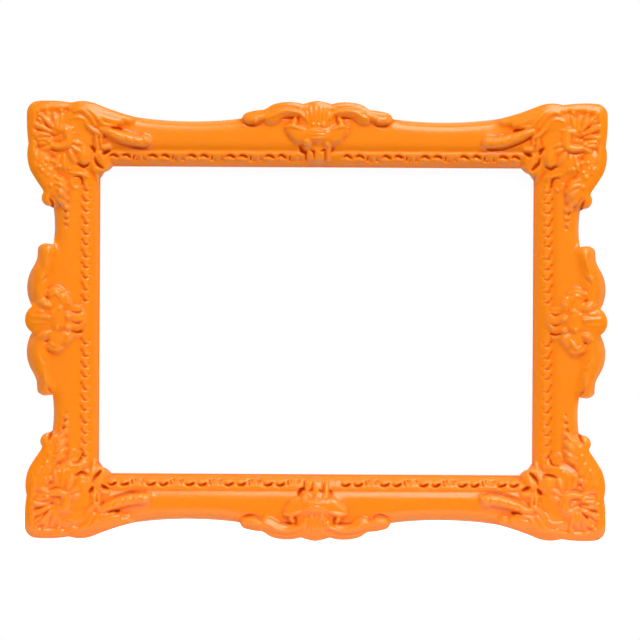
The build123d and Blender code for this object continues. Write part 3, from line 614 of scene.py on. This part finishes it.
side_wing = [
    [(103.4, 6.4, 2.6, 11.8), (103.2, 9.0, 2.8, 11.7)],
    [(99.6, 6.4, 2.0, 11.6), (99.8, 8.4, 2.0, 11.4)],
    [(105.6, 10.9, 0.5, 12.1), (104.2, 11.9, 0.6, 12.3), (102.0, 12.1, 0.6, 12.1), (100.2, 11.2, 0.5, 11.7)],
    [(104.6, 9.6, 0.6, 12.3), (102.7, 10.5, 0.7, 12.7), (101.2, 8.6, 0.7, 12.5), (100.6, 7.4, 0.5, 12.0)],
    [(98.8, 9.4, 0.5, 12.0), (97.9, 7.6, 0.7, 12.2), (97.5, 5.8, 0.6, 12.0)],
]
side_reeds = [
    [(105.8, 0.8, 0.7, 13.2), (107.2, 0.9, 0.7, 12.9), (110.6, 1.1, 0.7, 12.2), (112.6, 1.2, 0.6, 11.9)],
    [(106.8, -1.2, 0.5, 12.1), (109.0, -1.3, 0.6, 12.1), (112.0, -1.5, 0.6, 11.8)],
    [(108.0, 3.0, 0.5, 12.1), (110.0, 3.2, 0.6, 12.1)],
]
side_bars = [[(98.4, z, 0.9, 11.6), (96.0, z, 0.8, 10.9), (93.4, z, 0.7, 9.9)]
             for z in (5.0, 1.0, -3.0, -6.0)]
side_bosses = [
    (98.2, 6.6, 0.8, 12.4), (97.9, 1.2, 1.0, 13.0), (98.0, -3.4, 0.9, 12.9), (98.4, -6.4, 0.8, 12.1),
    (101.2, 4.2, 0.8, 13.2), (102.4, -3.2, 0.8, 13.2), (101.0, -2.4, 0.6, 12.8), (104.4, 2.6, 0.7, 12.7),
]
side_gaps = [[(96.6, z + 0.3, 0.4, 0.9), (94.5, z - 0.3, 0.65, 1.9), (92.7, z + 0.2, 0.45, 1.1)]
             for z in (3.0, -1.1, -4.8)]
side_grooves = [[(107.4, 8.9, 0.5, 0.7), (106.4, 8.5, 0.55, 1.1), (105.4, 7.9, 0.45, 0.6)],
                [(108.7, 14.4, 0.35, 0.8), (107.4, 15.9, 0.4, 1.0), (106.1, 17.4, 0.35, 0.7)],
                [(107.6, 11.4, 0.4, 0.5), (105.8, 12.7, 0.45, 0.6), (103.6, 13.2, 0.4, 0.4)]]
side_foot = [(106.2, -26.4, 0.7, 1.0), (105.2, -27.8, 1.0, 2.2), (104.2, -29.0, 0.8, 1.4)]
side_boss = [(102.4, 2.4, 2.6, 12.3), (102.2, -1.6, 2.6, 12.3)]
side_seed = 60

for side_x in (1, -1):
    draw = np.random.default_rng(side_seed + side_x)
    whole = (side_x, 1, draw, hand_looseness / 2)
    raise_stroke(side_ground, whole, droop=1.2, soft=1.0, side_slope=1.5)
    for side_z in (1, -1):
        place = (side_x, side_z, draw, hand_looseness)
        raise_stroke(side_lobe, place, droop=1.3, soft=1.4, side_slope=1.0)
        for stroke in side_wing:
            raise_stroke(stroke, place, droop=0.7, soft=0.4, side_slope=2.0)
        for stroke in side_halves:
            raise_stroke(stroke, place, droop=0.9, soft=0.5, side_slope=2.0)
    raise_stroke(side_boss, whole, droop=0.8, soft=0.4)
    for stroke in side_reeds:
        raise_stroke(stroke, whole, droop=0.6, soft=0.25)
    for stroke in side_bars:
        raise_stroke(stroke, whole, droop=0.8, soft=0.3)
    for boss in side_bosses:
        raise_stroke([boss], whole, droop=0.7, soft=0.3)
    for gap in side_gaps + [side_foot]:
        cut_stroke(gap, whole)
    for side_z in (1, -1):
        for groove in side_grooves:
            cut_stroke(groove, (side_x, side_z, draw, hand_looseness))


def softened(field, radius):
    """The field blurred with a bell of the given radius in millimetres."""
    reach = max(1, int(3 * radius / step))
    weights = np.exp(-0.5 * (np.arange(-reach, reach + 1) * step / radius) ** 2)
    weights /= weights.sum()
    for axis in (0, 1):
        spread = np.pad(field, [(reach, reach) if a == axis else (0, 0) for a in (0, 1)], mode="edge")
        size = field.shape[axis]
        field = sum(w * np.take(spread, range(k, k + size), axis) for k, w in enumerate(weights))
    return field


# Moulded edges are never sharp: the carving is held under its highest level at the outline, and
# outward of the strip its fine relief is lower, most of all on the side crests, but for deep cuts
edge_blend, ground_radius, edge_radius = 0.5, 1.2, 0.22
relief_share, side_loss, deep_cut = 0.6, 0.12, 0.5
strip_end, side_half, side_start = 7.6, 34, 93
height = smooth_min(height, np.interp(inward, *np.array(edge_limits).T), edge_blend)
ground = softened(height, ground_radius)
detail = height - ground
on_side = np.clip(side_half - np.abs(grid_z), 0, 1) * np.clip(np.abs(grid_x) - side_start, 0, 1)
low_relief = relief_share - side_loss * on_side
low_relief += (1 - low_relief) * np.clip(strip_end - across, 0, 1)
height = ground + low_relief * detail + (1 - low_relief) * np.minimum(detail + deep_cut, 0)
height = np.minimum(softened(height, edge_radius), top_level)

# How far each point lies above or below the ground round it, for the painted shade in the creases and the
# painted highlight on the ridges
shade_and_highlight_radius, shade_and_highlight_depth = 1.1, 0.8
shade_and_highlight = np.clip((height - softened(height, shade_and_highlight_radius)) / shade_and_highlight_depth, -1, 1)

# Mesh of the relief: grid points beside the two contours are pulled onto them
signed_gap = np.minimum(outer_gap, inner_gap)
near_outer = outer_gap < inner_gap
contour_x = mirrored(contour_near[:, 0], -1, 1)
contour_z = mirrored(contour_near[:, 1], 1, -1)
hole_x = mirrored(hole_near[:, 0], -1, 1)
hole_z = mirrored(hole_near[:, 1], 1, -1)
snapped = np.abs(signed_gap) < step / 2
front_x = np.where(snapped, np.where(near_outer, contour_x, hole_x), grid_x)
front_z = np.where(snapped, np.where(near_outer, contour_z, hole_z), grid_z)
kept = snapped | (signed_gap > 0)


def sampled(field, x, z, margin=1.001):
    """Value of the field between grid points; the margin keeps it off the last line."""
    u = np.clip((x - left_x) / step, 0, field.shape[0] - margin)
    v = np.clip((z - low_z) / step, 0, field.shape[1] - margin)
    i, j = u.astype(int), v.astype(int)
    s, t = u - i, v - j
    return ((1 - s) * (1 - t) * field[i, j] + s * (1 - t) * field[i + 1, j]
            + (1 - s) * t * field[i, j + 1] + s * t * field[i + 1, j + 1])


def cell_corners(field):
    """The field at the four corners of each cell, in order round it."""
    return np.stack([field[:-1, :-1], field[1:, :-1], field[1:, 1:], field[:-1, 1:]])


corners = cell_corners(kept)
cell_gap = sampled(signed_gap, grid_x[:-1, :-1] + step / 2, grid_z[:-1, :-1] + step / 2)
within = (corners & ~cell_corners(snapped)).any(0) | (cell_gap > 0)
numbers = np.full(kept.shape, -1)
numbers[kept] = np.arange(kept.sum())
around = cell_corners(numbers)
quads = around[:, corners.all(0) & within].T
triangles = []
for dropped in range(4):
    three_left = (corners.sum(0) == 3) & within & ~corners[dropped]
    triangles.append(np.delete(around, dropped, 0)[:, three_left].T)
triangles = np.concatenate(triangles)
points = np.column_stack([front_x[kept], -sampled(height, front_x[kept], front_z[kept]), front_z[kept]])
# Painted shade and painted highlight of each point, read from the field above
shade = sampled(shade_and_highlight, front_x[kept], front_z[kept])


def chained(edges):
    """Closed loops of point numbers from directed edges, the longest first."""
    following = dict(edges)
    loops = []
    while following:
        start, here = following.popitem()
        loop = [start]
        while here != start:
            loop.append(here)
            here = following.pop(here)
        loops.append(loop)
    return sorted(loops, key=len)[::-1]


faces = quads.tolist() + triangles.tolist()
relief_faces = len(faces)
used = {(face[k - 1], face[k]) for face in faces for k in range(len(face))}
outer_loop, inner_loop = chained([edge for edge in used if edge[::-1] not in used])[:2]
rows_of_points = [points]


def add_row(places, level):
    """A loop of points at one level; returns their numbers."""
    places = np.asarray(places, float)
    counted = sum(len(row) for row in rows_of_points)
    rows_of_points.append(np.column_stack([places[:, 0], np.broadcast_to(-level, len(places)), places[:, 1]]))
    return list(range(counted, counted + len(places)))


def join_rows(upper, lower):
    """Faces between two loops of the same length."""
    for k in range(len(upper)):
        faces.append([upper[k - 1], upper[k], lower[k], lower[k - 1]])


def fill_rows(outside, inside):
    """Flat ring between two loops at one level."""
    everything = np.concatenate(rows_of_points)
    rings = [[Vector((everything[k][0], everything[k][2], 0)) for k in loop] for loop in (outside, inside)]
    joined = list(outside) + list(inside)
    faces.extend([joined[k] for k in triple] for triple in tessellate_polygon(rings))


def rectangle_row(half_x, half_z, level):
    """Rectangular loop of four points at one level."""
    return add_row([(-half_x, -half_z), (half_x, -half_z), (half_x, half_z), (-half_x, half_z)], level)


def on_outline(inset, places):
    """Points of the outline moved inward, at places along it."""
    line = outline_loop(inset, step)
    k = places.astype(int) % len(line)
    share = (places - places.astype(int))[:, None]
    return line[k] * (1 - share) + line[(k + 1) % len(line)] * share


# Drafted outer wall, rim on the back plane and the inside of the wall, which keeps to the plainer
# outline that the rear cover has, so that the two meet
wall_shares = (0.33, 0.67, 1.0)
cover_hold, smoothings = 0.9, 3
solid_crest_shares = [
    (0.00, 1.00, 0.03), (0.18, 0.86, 0.07), (0.54, 0.85, 0.06), (0.66, 0.65, -0.06),
    (0.80, 0.49, 0.17), (1.00, 0.17, 0.00),
]
solid_corner_shares = [
    (1.00, 0.145, -0.02), (0.655, 0.034, 0.09), (0.402, 0.014, 0.035), (0.115, 0.006, 0.19),
    (0.007, 0.116, 0.025), (0.011, 0.410, 0.085), (0.037, 0.651, 0.00), (0.117, 0.814, 0.08),
    (0.140, 0.918, 0.02), (0.253, 1.002, 0.00),
]
solid_side_shares = [
    (0.035, 1.00, 0.00), (0.395, 0.965, 0.20), (0.630, 0.846, -0.05), (0.780, 0.641, 0.087),
    (0.903, 0.167, 0.05), (1.00, 0.00, 0.00),
]
_, _, along_contour = nearest_on(contour, points[outer_loop, 0], points[outer_loop, 2])
wall_top = -points[outer_loop, 1]
row = outer_loop
for share in wall_shares:
    wall_level_here = wall_top * (1 - share) + rim_level * share
    lower = add_row(on_outline(wall_inset * (1 - share), along_contour), wall_level_here)
    join_rows(row, lower)
    row = lower
wall_line = on_outline(outer_wall, along_contour)
solid_wall = outline_loop(outer_wall, step, (solid_crest_shares, solid_corner_shares, solid_side_shares))
held_line = nearest_on(solid_wall, wall_line[:, 0], wall_line[:, 1])[1]
wall_line = cover_hold * held_line + (1 - cover_hold) * wall_line
for _ in range(smoothings):
    wall_line = (np.roll(wall_line, 1, 0) + 2 * wall_line + np.roll(wall_line, -1, 0)) / 4
for line, level in [(on_outline(rim_break, along_contour), 0.0), (wall_line, 0.0), (wall_line, roof_level)]:
    lower = add_row(line, level)
    join_rows(row, lower)
    row = lower

# Roof of the hollow in two steps, seat of the cover, pocket of the window and the lip before it
for lap, level, next_level in [
    (step_lap, roof_level, low_roof_level),
    (hollow_lap, low_roof_level, cover_level),
    (pocket_lap, cover_level, lip_level),
]:
    ring = rectangle_row(sight_x + lap, sight_z + lap, level)
    fill_rows(row, ring)
    row = rectangle_row(sight_x + lap, sight_z + lap, next_level)
    join_rows(ring, row)
lip_ring = add_row(points[inner_loop][:, [0, 2]], lip_level)
fill_rows(row, lip_ring)
join_rows(inner_loop, lip_ring)

# Bosses that the cover screws bite into
boss_lap = (hollow_lap + rail_width - outer_wall) / 2
screw_top, screw_side = 49.35, 37.0
boss_radius, boss_bite, pilot_radius, pilot_end = 2.7, 0.2, 1.0, 6.5
round_sides = 24
screw_places = [(sx * screw_top, sz * (sight_z + boss_lap)) for sx in (-1, 1) for sz in (-1, 1)]
screw_places += [(sx * (sight_x + boss_lap), sz * screw_side) for sx in (-1, 1) for sz in (-1, 1)]
turns = np.linspace(0, 2 * math.pi, round_sides, endpoint=False)
round_points = np.stack([np.cos(turns), np.sin(turns)], 1)
for place in screw_places:
    root = add_row(place + boss_radius * round_points, roof_level + boss_bite)
    mouth = add_row(place + boss_radius * round_points, cover_level)
    pilot = add_row(place + pilot_radius * round_points, cover_level)
    floor_row = add_row(place + pilot_radius * round_points, pilot_end)
    join_rows(root, mouth)
    join_rows(mouth, pilot)
    join_rows(pilot, floor_row)
    faces += [root, floor_row[::-1]]

all_points = np.concatenate(rows_of_points)
mesh = bpy.data.meshes.new("carved_moulding")
mesh.from_pydata((all_points * mm).tolist(), [], faces)
sharp_angle = math.radians(40)
carved = bmesh.new()
carved.from_mesh(mesh)
bmesh.ops.recalc_face_normals(carved, faces=carved.faces)
carved.faces.ensure_lookup_table()
for face in carved.faces:
    face.smooth = True
for face in carved.faces[relief_faces:]:
    for edge in face.edges:
        if edge.calc_face_angle(math.pi) > sharp_angle:
            edge.smooth = False
loose = sum(not edge.is_manifold for edge in carved.edges)
carved.to_mesh(mesh)
carved.free()
# This point attribute carries the painted shade and painted highlight to the material
shading = mesh.attributes.new("shade_and_highlight", "FLOAT", "POINT")
shade = np.concatenate([shade, np.zeros(len(all_points) - len(points))])
shading.data.foreach_set("value", shade.astype(np.float32))
moulding = bpy.data.objects.new("carved_moulding", mesh)
bpy.context.scene.collection.objects.link(moulding)
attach(moulding, "root")
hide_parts("front_moulding")
print("faces", len(faces), "open edges", loose)


def set_values(node, values):
    """Set a node's own sockets by name."""
    for socket, value in values.items():
        node.inputs[socket].default_value = value


def new_material(name):
    """A plain node material, with its tree and its shader."""
    material = bpy.data.materials.new(name)
    material.use_nodes = True
    shader = next(n for n in material.node_tree.nodes if n.type == "BSDF_PRINCIPLED")
    return material, material.node_tree, shader


def ripple_group():
    """Fine unevenness that all the finishes share: a height for a bump, a mask for the roughness."""
    tree = bpy.data.node_groups.new("moulded_ripple", "ShaderNodeTree")
    tree.interface.new_socket("Scale", in_out="INPUT", socket_type="NodeSocketFloat")
    tree.interface.new_socket("Height", in_out="OUTPUT", socket_type="NodeSocketFloat")
    tree.interface.new_socket("Mask", in_out="OUTPUT", socket_type="NodeSocketFloat")
    given, result = tree.nodes.new("NodeGroupInput"), tree.nodes.new("NodeGroupOutput")
    place = tree.nodes.new("ShaderNodeTexCoord")
    wave = tree.nodes.new("ShaderNodeTexNoise")
    set_values(wave, {"Detail": 2.0})
    cloud = tree.nodes.new("ShaderNodeTexNoise")
    set_values(cloud, {"Scale": 90.0, "Detail": 3.0})
    tree.links.new(place.outputs["Object"], wave.inputs["Vector"])
    tree.links.new(place.outputs["Object"], cloud.inputs["Vector"])
    tree.links.new(given.outputs["Scale"], wave.inputs["Scale"])
    tree.links.new(wave.outputs["Fac"], result.inputs["Height"])
    tree.links.new(cloud.outputs["Fac"], result.inputs["Mask"])
    return tree


ripple = ripple_group()


def add_ripple(tree, shader, scale, depth, rough_low, rough_high):
    """Bump and roughness of a finish from the shared ripple."""
    source = tree.nodes.new("ShaderNodeGroup")
    source.node_tree = ripple
    set_values(source, {"Scale": scale})
    bump = tree.nodes.new("ShaderNodeBump")
    set_values(bump, {"Strength": 1.0, "Distance": depth})
    tree.links.new(source.outputs["Height"], bump.inputs["Height"])
    tree.links.new(bump.outputs["Normal"], shader.inputs["Normal"])
    spread = tree.nodes.new("ShaderNodeMapRange")
    set_values(spread, {"From Min": 0.35, "From Max": 0.65, "To Min": rough_low, "To Max": rough_high})
    tree.links.new(source.outputs["Mask"], spread.inputs["Value"])
    tree.links.new(spread.outputs["Result"], shader.inputs["Roughness"])


# Glossy orange plastic, with painted light in its colour: painted shade makes it a deeper orange
# in the creases and a painted highlight makes it paler on the ridges
# Colours of the painted shade, from deep in the creases to the plain level, and of the painted highlight on
# the ridges
crease_shade_orange, shallow_shade_orange = (0.60, 0.085, 0.003, 1), (0.97, 0.175, 0.004, 1)
level_orange, ridge_highlight_orange = (0.98, 0.258, 0.006, 1), (1.0, 0.30, 0.02, 1)
orange, orange_tree, orange_shader = new_material("orange_gloss")
# The point attribute picks the painted shade or the painted highlight for each point
shade_and_highlight_value = orange_tree.nodes.new("ShaderNodeAttribute")
shade_and_highlight_value.attribute_name = "shade_and_highlight"
shade_and_highlight_tint = orange_tree.nodes.new("ShaderNodeValToRGB")
shade_and_highlight_tint.color_ramp.interpolation = "EASE"
shade_and_highlight_tint.color_ramp.elements[0].color = crease_shade_orange
shade_and_highlight_tint.color_ramp.elements[1].color = ridge_highlight_orange
for position, colour in [(0.25, shallow_shade_orange), (0.5, level_orange)]:
    shade_and_highlight_tint.color_ramp.elements.new(position).color = colour
to_unit = orange_tree.nodes.new("ShaderNodeMapRange")
set_values(to_unit, {"From Min": -1.0, "From Max": 1.0})
orange_tree.links.new(shade_and_highlight_value.outputs["Fac"], to_unit.inputs["Value"])
orange_tree.links.new(to_unit.outputs["Result"], shade_and_highlight_tint.inputs["Fac"])
orange_tree.links.new(shade_and_highlight_tint.outputs["Color"], orange_shader.inputs["Base Color"])
set_values(orange_shader, {
    "Subsurface Weight": 0.4,
    "Subsurface Radius": (1.0, 0.18, 0.05),
    "Subsurface Scale": 0.0018,
    "IOR": 1.5,
})
add_ripple(orange_tree, orange_shader, scale=900.0, depth=0.00002, rough_low=0.21, rough_high=0.27)
mesh.materials.append(orange)

# Rear cover: a flat ring that closes the hollow back of the moulding, traps the window and holds
# the magnets. It is moulded of the same orange plastic, but matt, and eight screws hold it on.


def dress(node, material):
    """Give a CAD node its finish through its object's material slots."""
    piece = frame["nodes"][node]
    for owner in [piece] + list(piece.children_recursive):
        if owner.type == "MESH":
            if not owner.material_slots:
                owner.data.materials.append(material)
            for slot in owner.material_slots:
                slot.material = material


cover_orange, cover_tree, cover_shader = new_material("orange_matt")
set_values(cover_shader, {
    "Base Color": (0.86, 0.20, 0.014, 1),
    "Subsurface Weight": 0.2,
    "Subsurface Radius": (1.0, 0.35, 0.1),
    "Subsurface Scale": 0.0015,
})
add_ripple(cover_tree, cover_shader, scale=2500.0, depth=0.00004, rough_low=0.5, rough_high=0.62)
dress("rear_cover", cover_orange)

# Clear window: a thin flat sheet of clear polystyrene in front of the print, cut to size and
# trapped between the lip of the moulding and the rear cover
clear, clear_tree, clear_shader = new_material("clear_sheet")
set_values(clear_shader, {"Base Color": (1.0, 1.0, 1.0, 1), "IOR": 1.05, "Alpha": 0.04})
add_ripple(clear_tree, clear_shader, scale=60.0, depth=0.000002, rough_low=0.02, rough_high=0.05)
dress("clear_window", clear)

# Magnets: eight plain discs that hold the frame on steel, one behind each corner and each crest.
# They are of dark sintered ferrite and pressed into cups of the rear cover.
ferrite, ferrite_tree, ferrite_shader = new_material("dark_ferrite")
set_values(ferrite_shader, {"Base Color": (0.055, 0.055, 0.06, 1), "Metallic": 0.3})
add_ripple(ferrite_tree, ferrite_shader, scale=3500.0, depth=0.00005, rough_low=0.5, rough_high=0.68)
for node in frame["nodes"]:
    if node.startswith("magnet_"):
        dress(node, ferrite)

# Cover screws: eight small countersunk self-tapping screws with a cross recess, of zinc plated
# steel. They go through the rear cover into the bosses of the moulding.
zinc, zinc_tree, zinc_shader = new_material("zinc_plate")
set_values(zinc_shader, {"Base Color": (0.62, 0.62, 0.60, 1), "Metallic": 1.0})
add_ripple(zinc_tree, zinc_shader, scale=4000.0, depth=0.00001, rough_low=0.26, rough_high=0.4)
dress("cover_screws", zinc)

# Studio: a white room that is dark in front of the object, a pale floor below its lower edge,
# a key light high in front on the right and a large weak light from the front


def combined(tree, operation, first, second):
    """Socket with the result of one math step on two sockets."""
    step_node = tree.nodes.new("ShaderNodeMath")
    step_node.operation = operation
    tree.links.new(first, step_node.inputs[0])
    tree.links.new(second, step_node.inputs[1])
    return step_node.outputs[0]


def ray_kinds(tree):
    """Sockets that are 1 for camera or transmission rays, and for those or glossy rays."""
    rays = tree.nodes.new("ShaderNodeLightPath").outputs
    direct = combined(tree, "MAXIMUM", rays["Is Camera Ray"], rays["Is Transmission Ray"])
    return direct, combined(tree, "MAXIMUM", direct, rays["Is Glossy Ray"])


room = bpy.data.worlds.new("white_room")
bpy.context.scene.world = room
room.use_nodes = True
room_nodes, room_links = room.node_tree.nodes, room.node_tree.links
room_nodes.clear()
room_light = room_nodes.new("ShaderNodeMapRange")
set_values(room_light, {"To Min": 0.42, "To Max": 1.0})
direct_rays, shown_rays = ray_kinds(room.node_tree)
room_links.new(shown_rays, room_light.inputs["Value"])
facing = room_nodes.new("ShaderNodeTexCoord")
facing_parts = room_nodes.new("ShaderNodeSeparateXYZ")
room_links.new(facing.outputs["Generated"], facing_parts.inputs["Vector"])
beside = room_nodes.new("ShaderNodeMapRange")
set_values(beside, {"From Min": -0.52, "From Max": -0.09})
room_links.new(facing_parts.outputs["Y"], beside.inputs["Value"])
lit_part = combined(room.node_tree, "MAXIMUM", beside.outputs["Result"], direct_rays)
room_white = room_nodes.new("ShaderNodeBackground")
set_values(room_white, {"Color": (1, 1, 1, 1)})
room_strength = combined(room.node_tree, "MULTIPLY", room_light.outputs["Result"], lit_part)
room_links.new(room_strength, room_white.inputs["Strength"])
room_output = room_nodes.new("ShaderNodeOutputWorld")
room_links.new(room_white.outputs[0], room_output.inputs["Surface"])

floor_half, floor_front, floor_level = 0.32, -0.05, (-rail_z - top_crest_rise) * mm
floor_corners = [
    (-floor_half, floor_front, floor_level), (floor_half, floor_front, floor_level),
    (floor_half, floor_half, floor_level), (-floor_half, floor_half, floor_level),
]
floor_mesh = bpy.data.meshes.new("floor")
floor_mesh.from_pydata(floor_corners, [], [(0, 1, 2, 3)])
floor = bpy.data.objects.new("floor", floor_mesh)
bpy.context.scene.collection.objects.link(floor)
pale, pale_tree, pale_shader = new_material("pale_floor")
set_values(pale_shader, {"Base Color": (0.8, 0.8, 0.8, 1), "Roughness": 0.9, "Emission Color": (1, 1, 1, 1)})
floor_place = pale_tree.nodes.new("ShaderNodeNewGeometry")
away = pale_tree.nodes.new("ShaderNodeVectorMath")
away.operation = "LENGTH"
pale_tree.links.new(floor_place.outputs["Position"], away.inputs[0])
fade = pale_tree.nodes.new("ShaderNodeMapRange")
set_values(fade, {"From Min": 0.12, "From Max": 0.28, "To Min": 0.85, "To Max": 1.0})
pale_tree.links.new(away.outputs["Value"], fade.inputs["Value"])
glow = combined(pale_tree, "MULTIPLY", fade.outputs["Result"], ray_kinds(pale_tree)[1])
pale_tree.links.new(glow, pale_shader.inputs["Emission Strength"])
floor_mesh.materials.append(pale)


def softbox(name, place, size, power, reflected=True):
    """A square area light aimed at the middle of the frame, which gloss may reflect or not."""
    light = bpy.data.lights.new(name, "AREA")
    light.size = size
    light.energy = power
    owner = bpy.data.objects.new(name, light)
    owner.location = place
    owner.rotation_euler = (-Vector(place)).to_track_quat("-Z", "Y").to_euler()
    owner.visible_glossy = reflected
    bpy.context.scene.collection.objects.link(owner)


softbox("key_light", place=(0.39, -0.98, 1.02), size=0.9, power=16.5)
softbox("front_fill", place=(0.0, -2.6, 0.0), size=5.0, power=84.0, reflected=False)

# Camera: far in front of the frame with a long lens, so that it sees the rails square on, and
# rolled by less than half a degree, as the photograph shows it
camera_place, camera_roll = (0.00149, -2.2, 0.00034), math.radians(-0.31)
lens_length, sensor_width, view_end = 311.9, 36.0, 20.0
camera_data = bpy.data.cameras.new("camera")
camera_data.lens = lens_length
camera_data.sensor_width = sensor_width
camera_data.clip_end = view_end
camera = bpy.data.objects.new("camera", camera_data)
camera.location = camera_place
camera.rotation_euler = (math.radians(90), camera_roll, 0)
bpy.context.scene.collection.objects.link(camera)
bpy.context.scene.camera = camera
bpy.context.scene.view_settings.view_transform = "Standard"
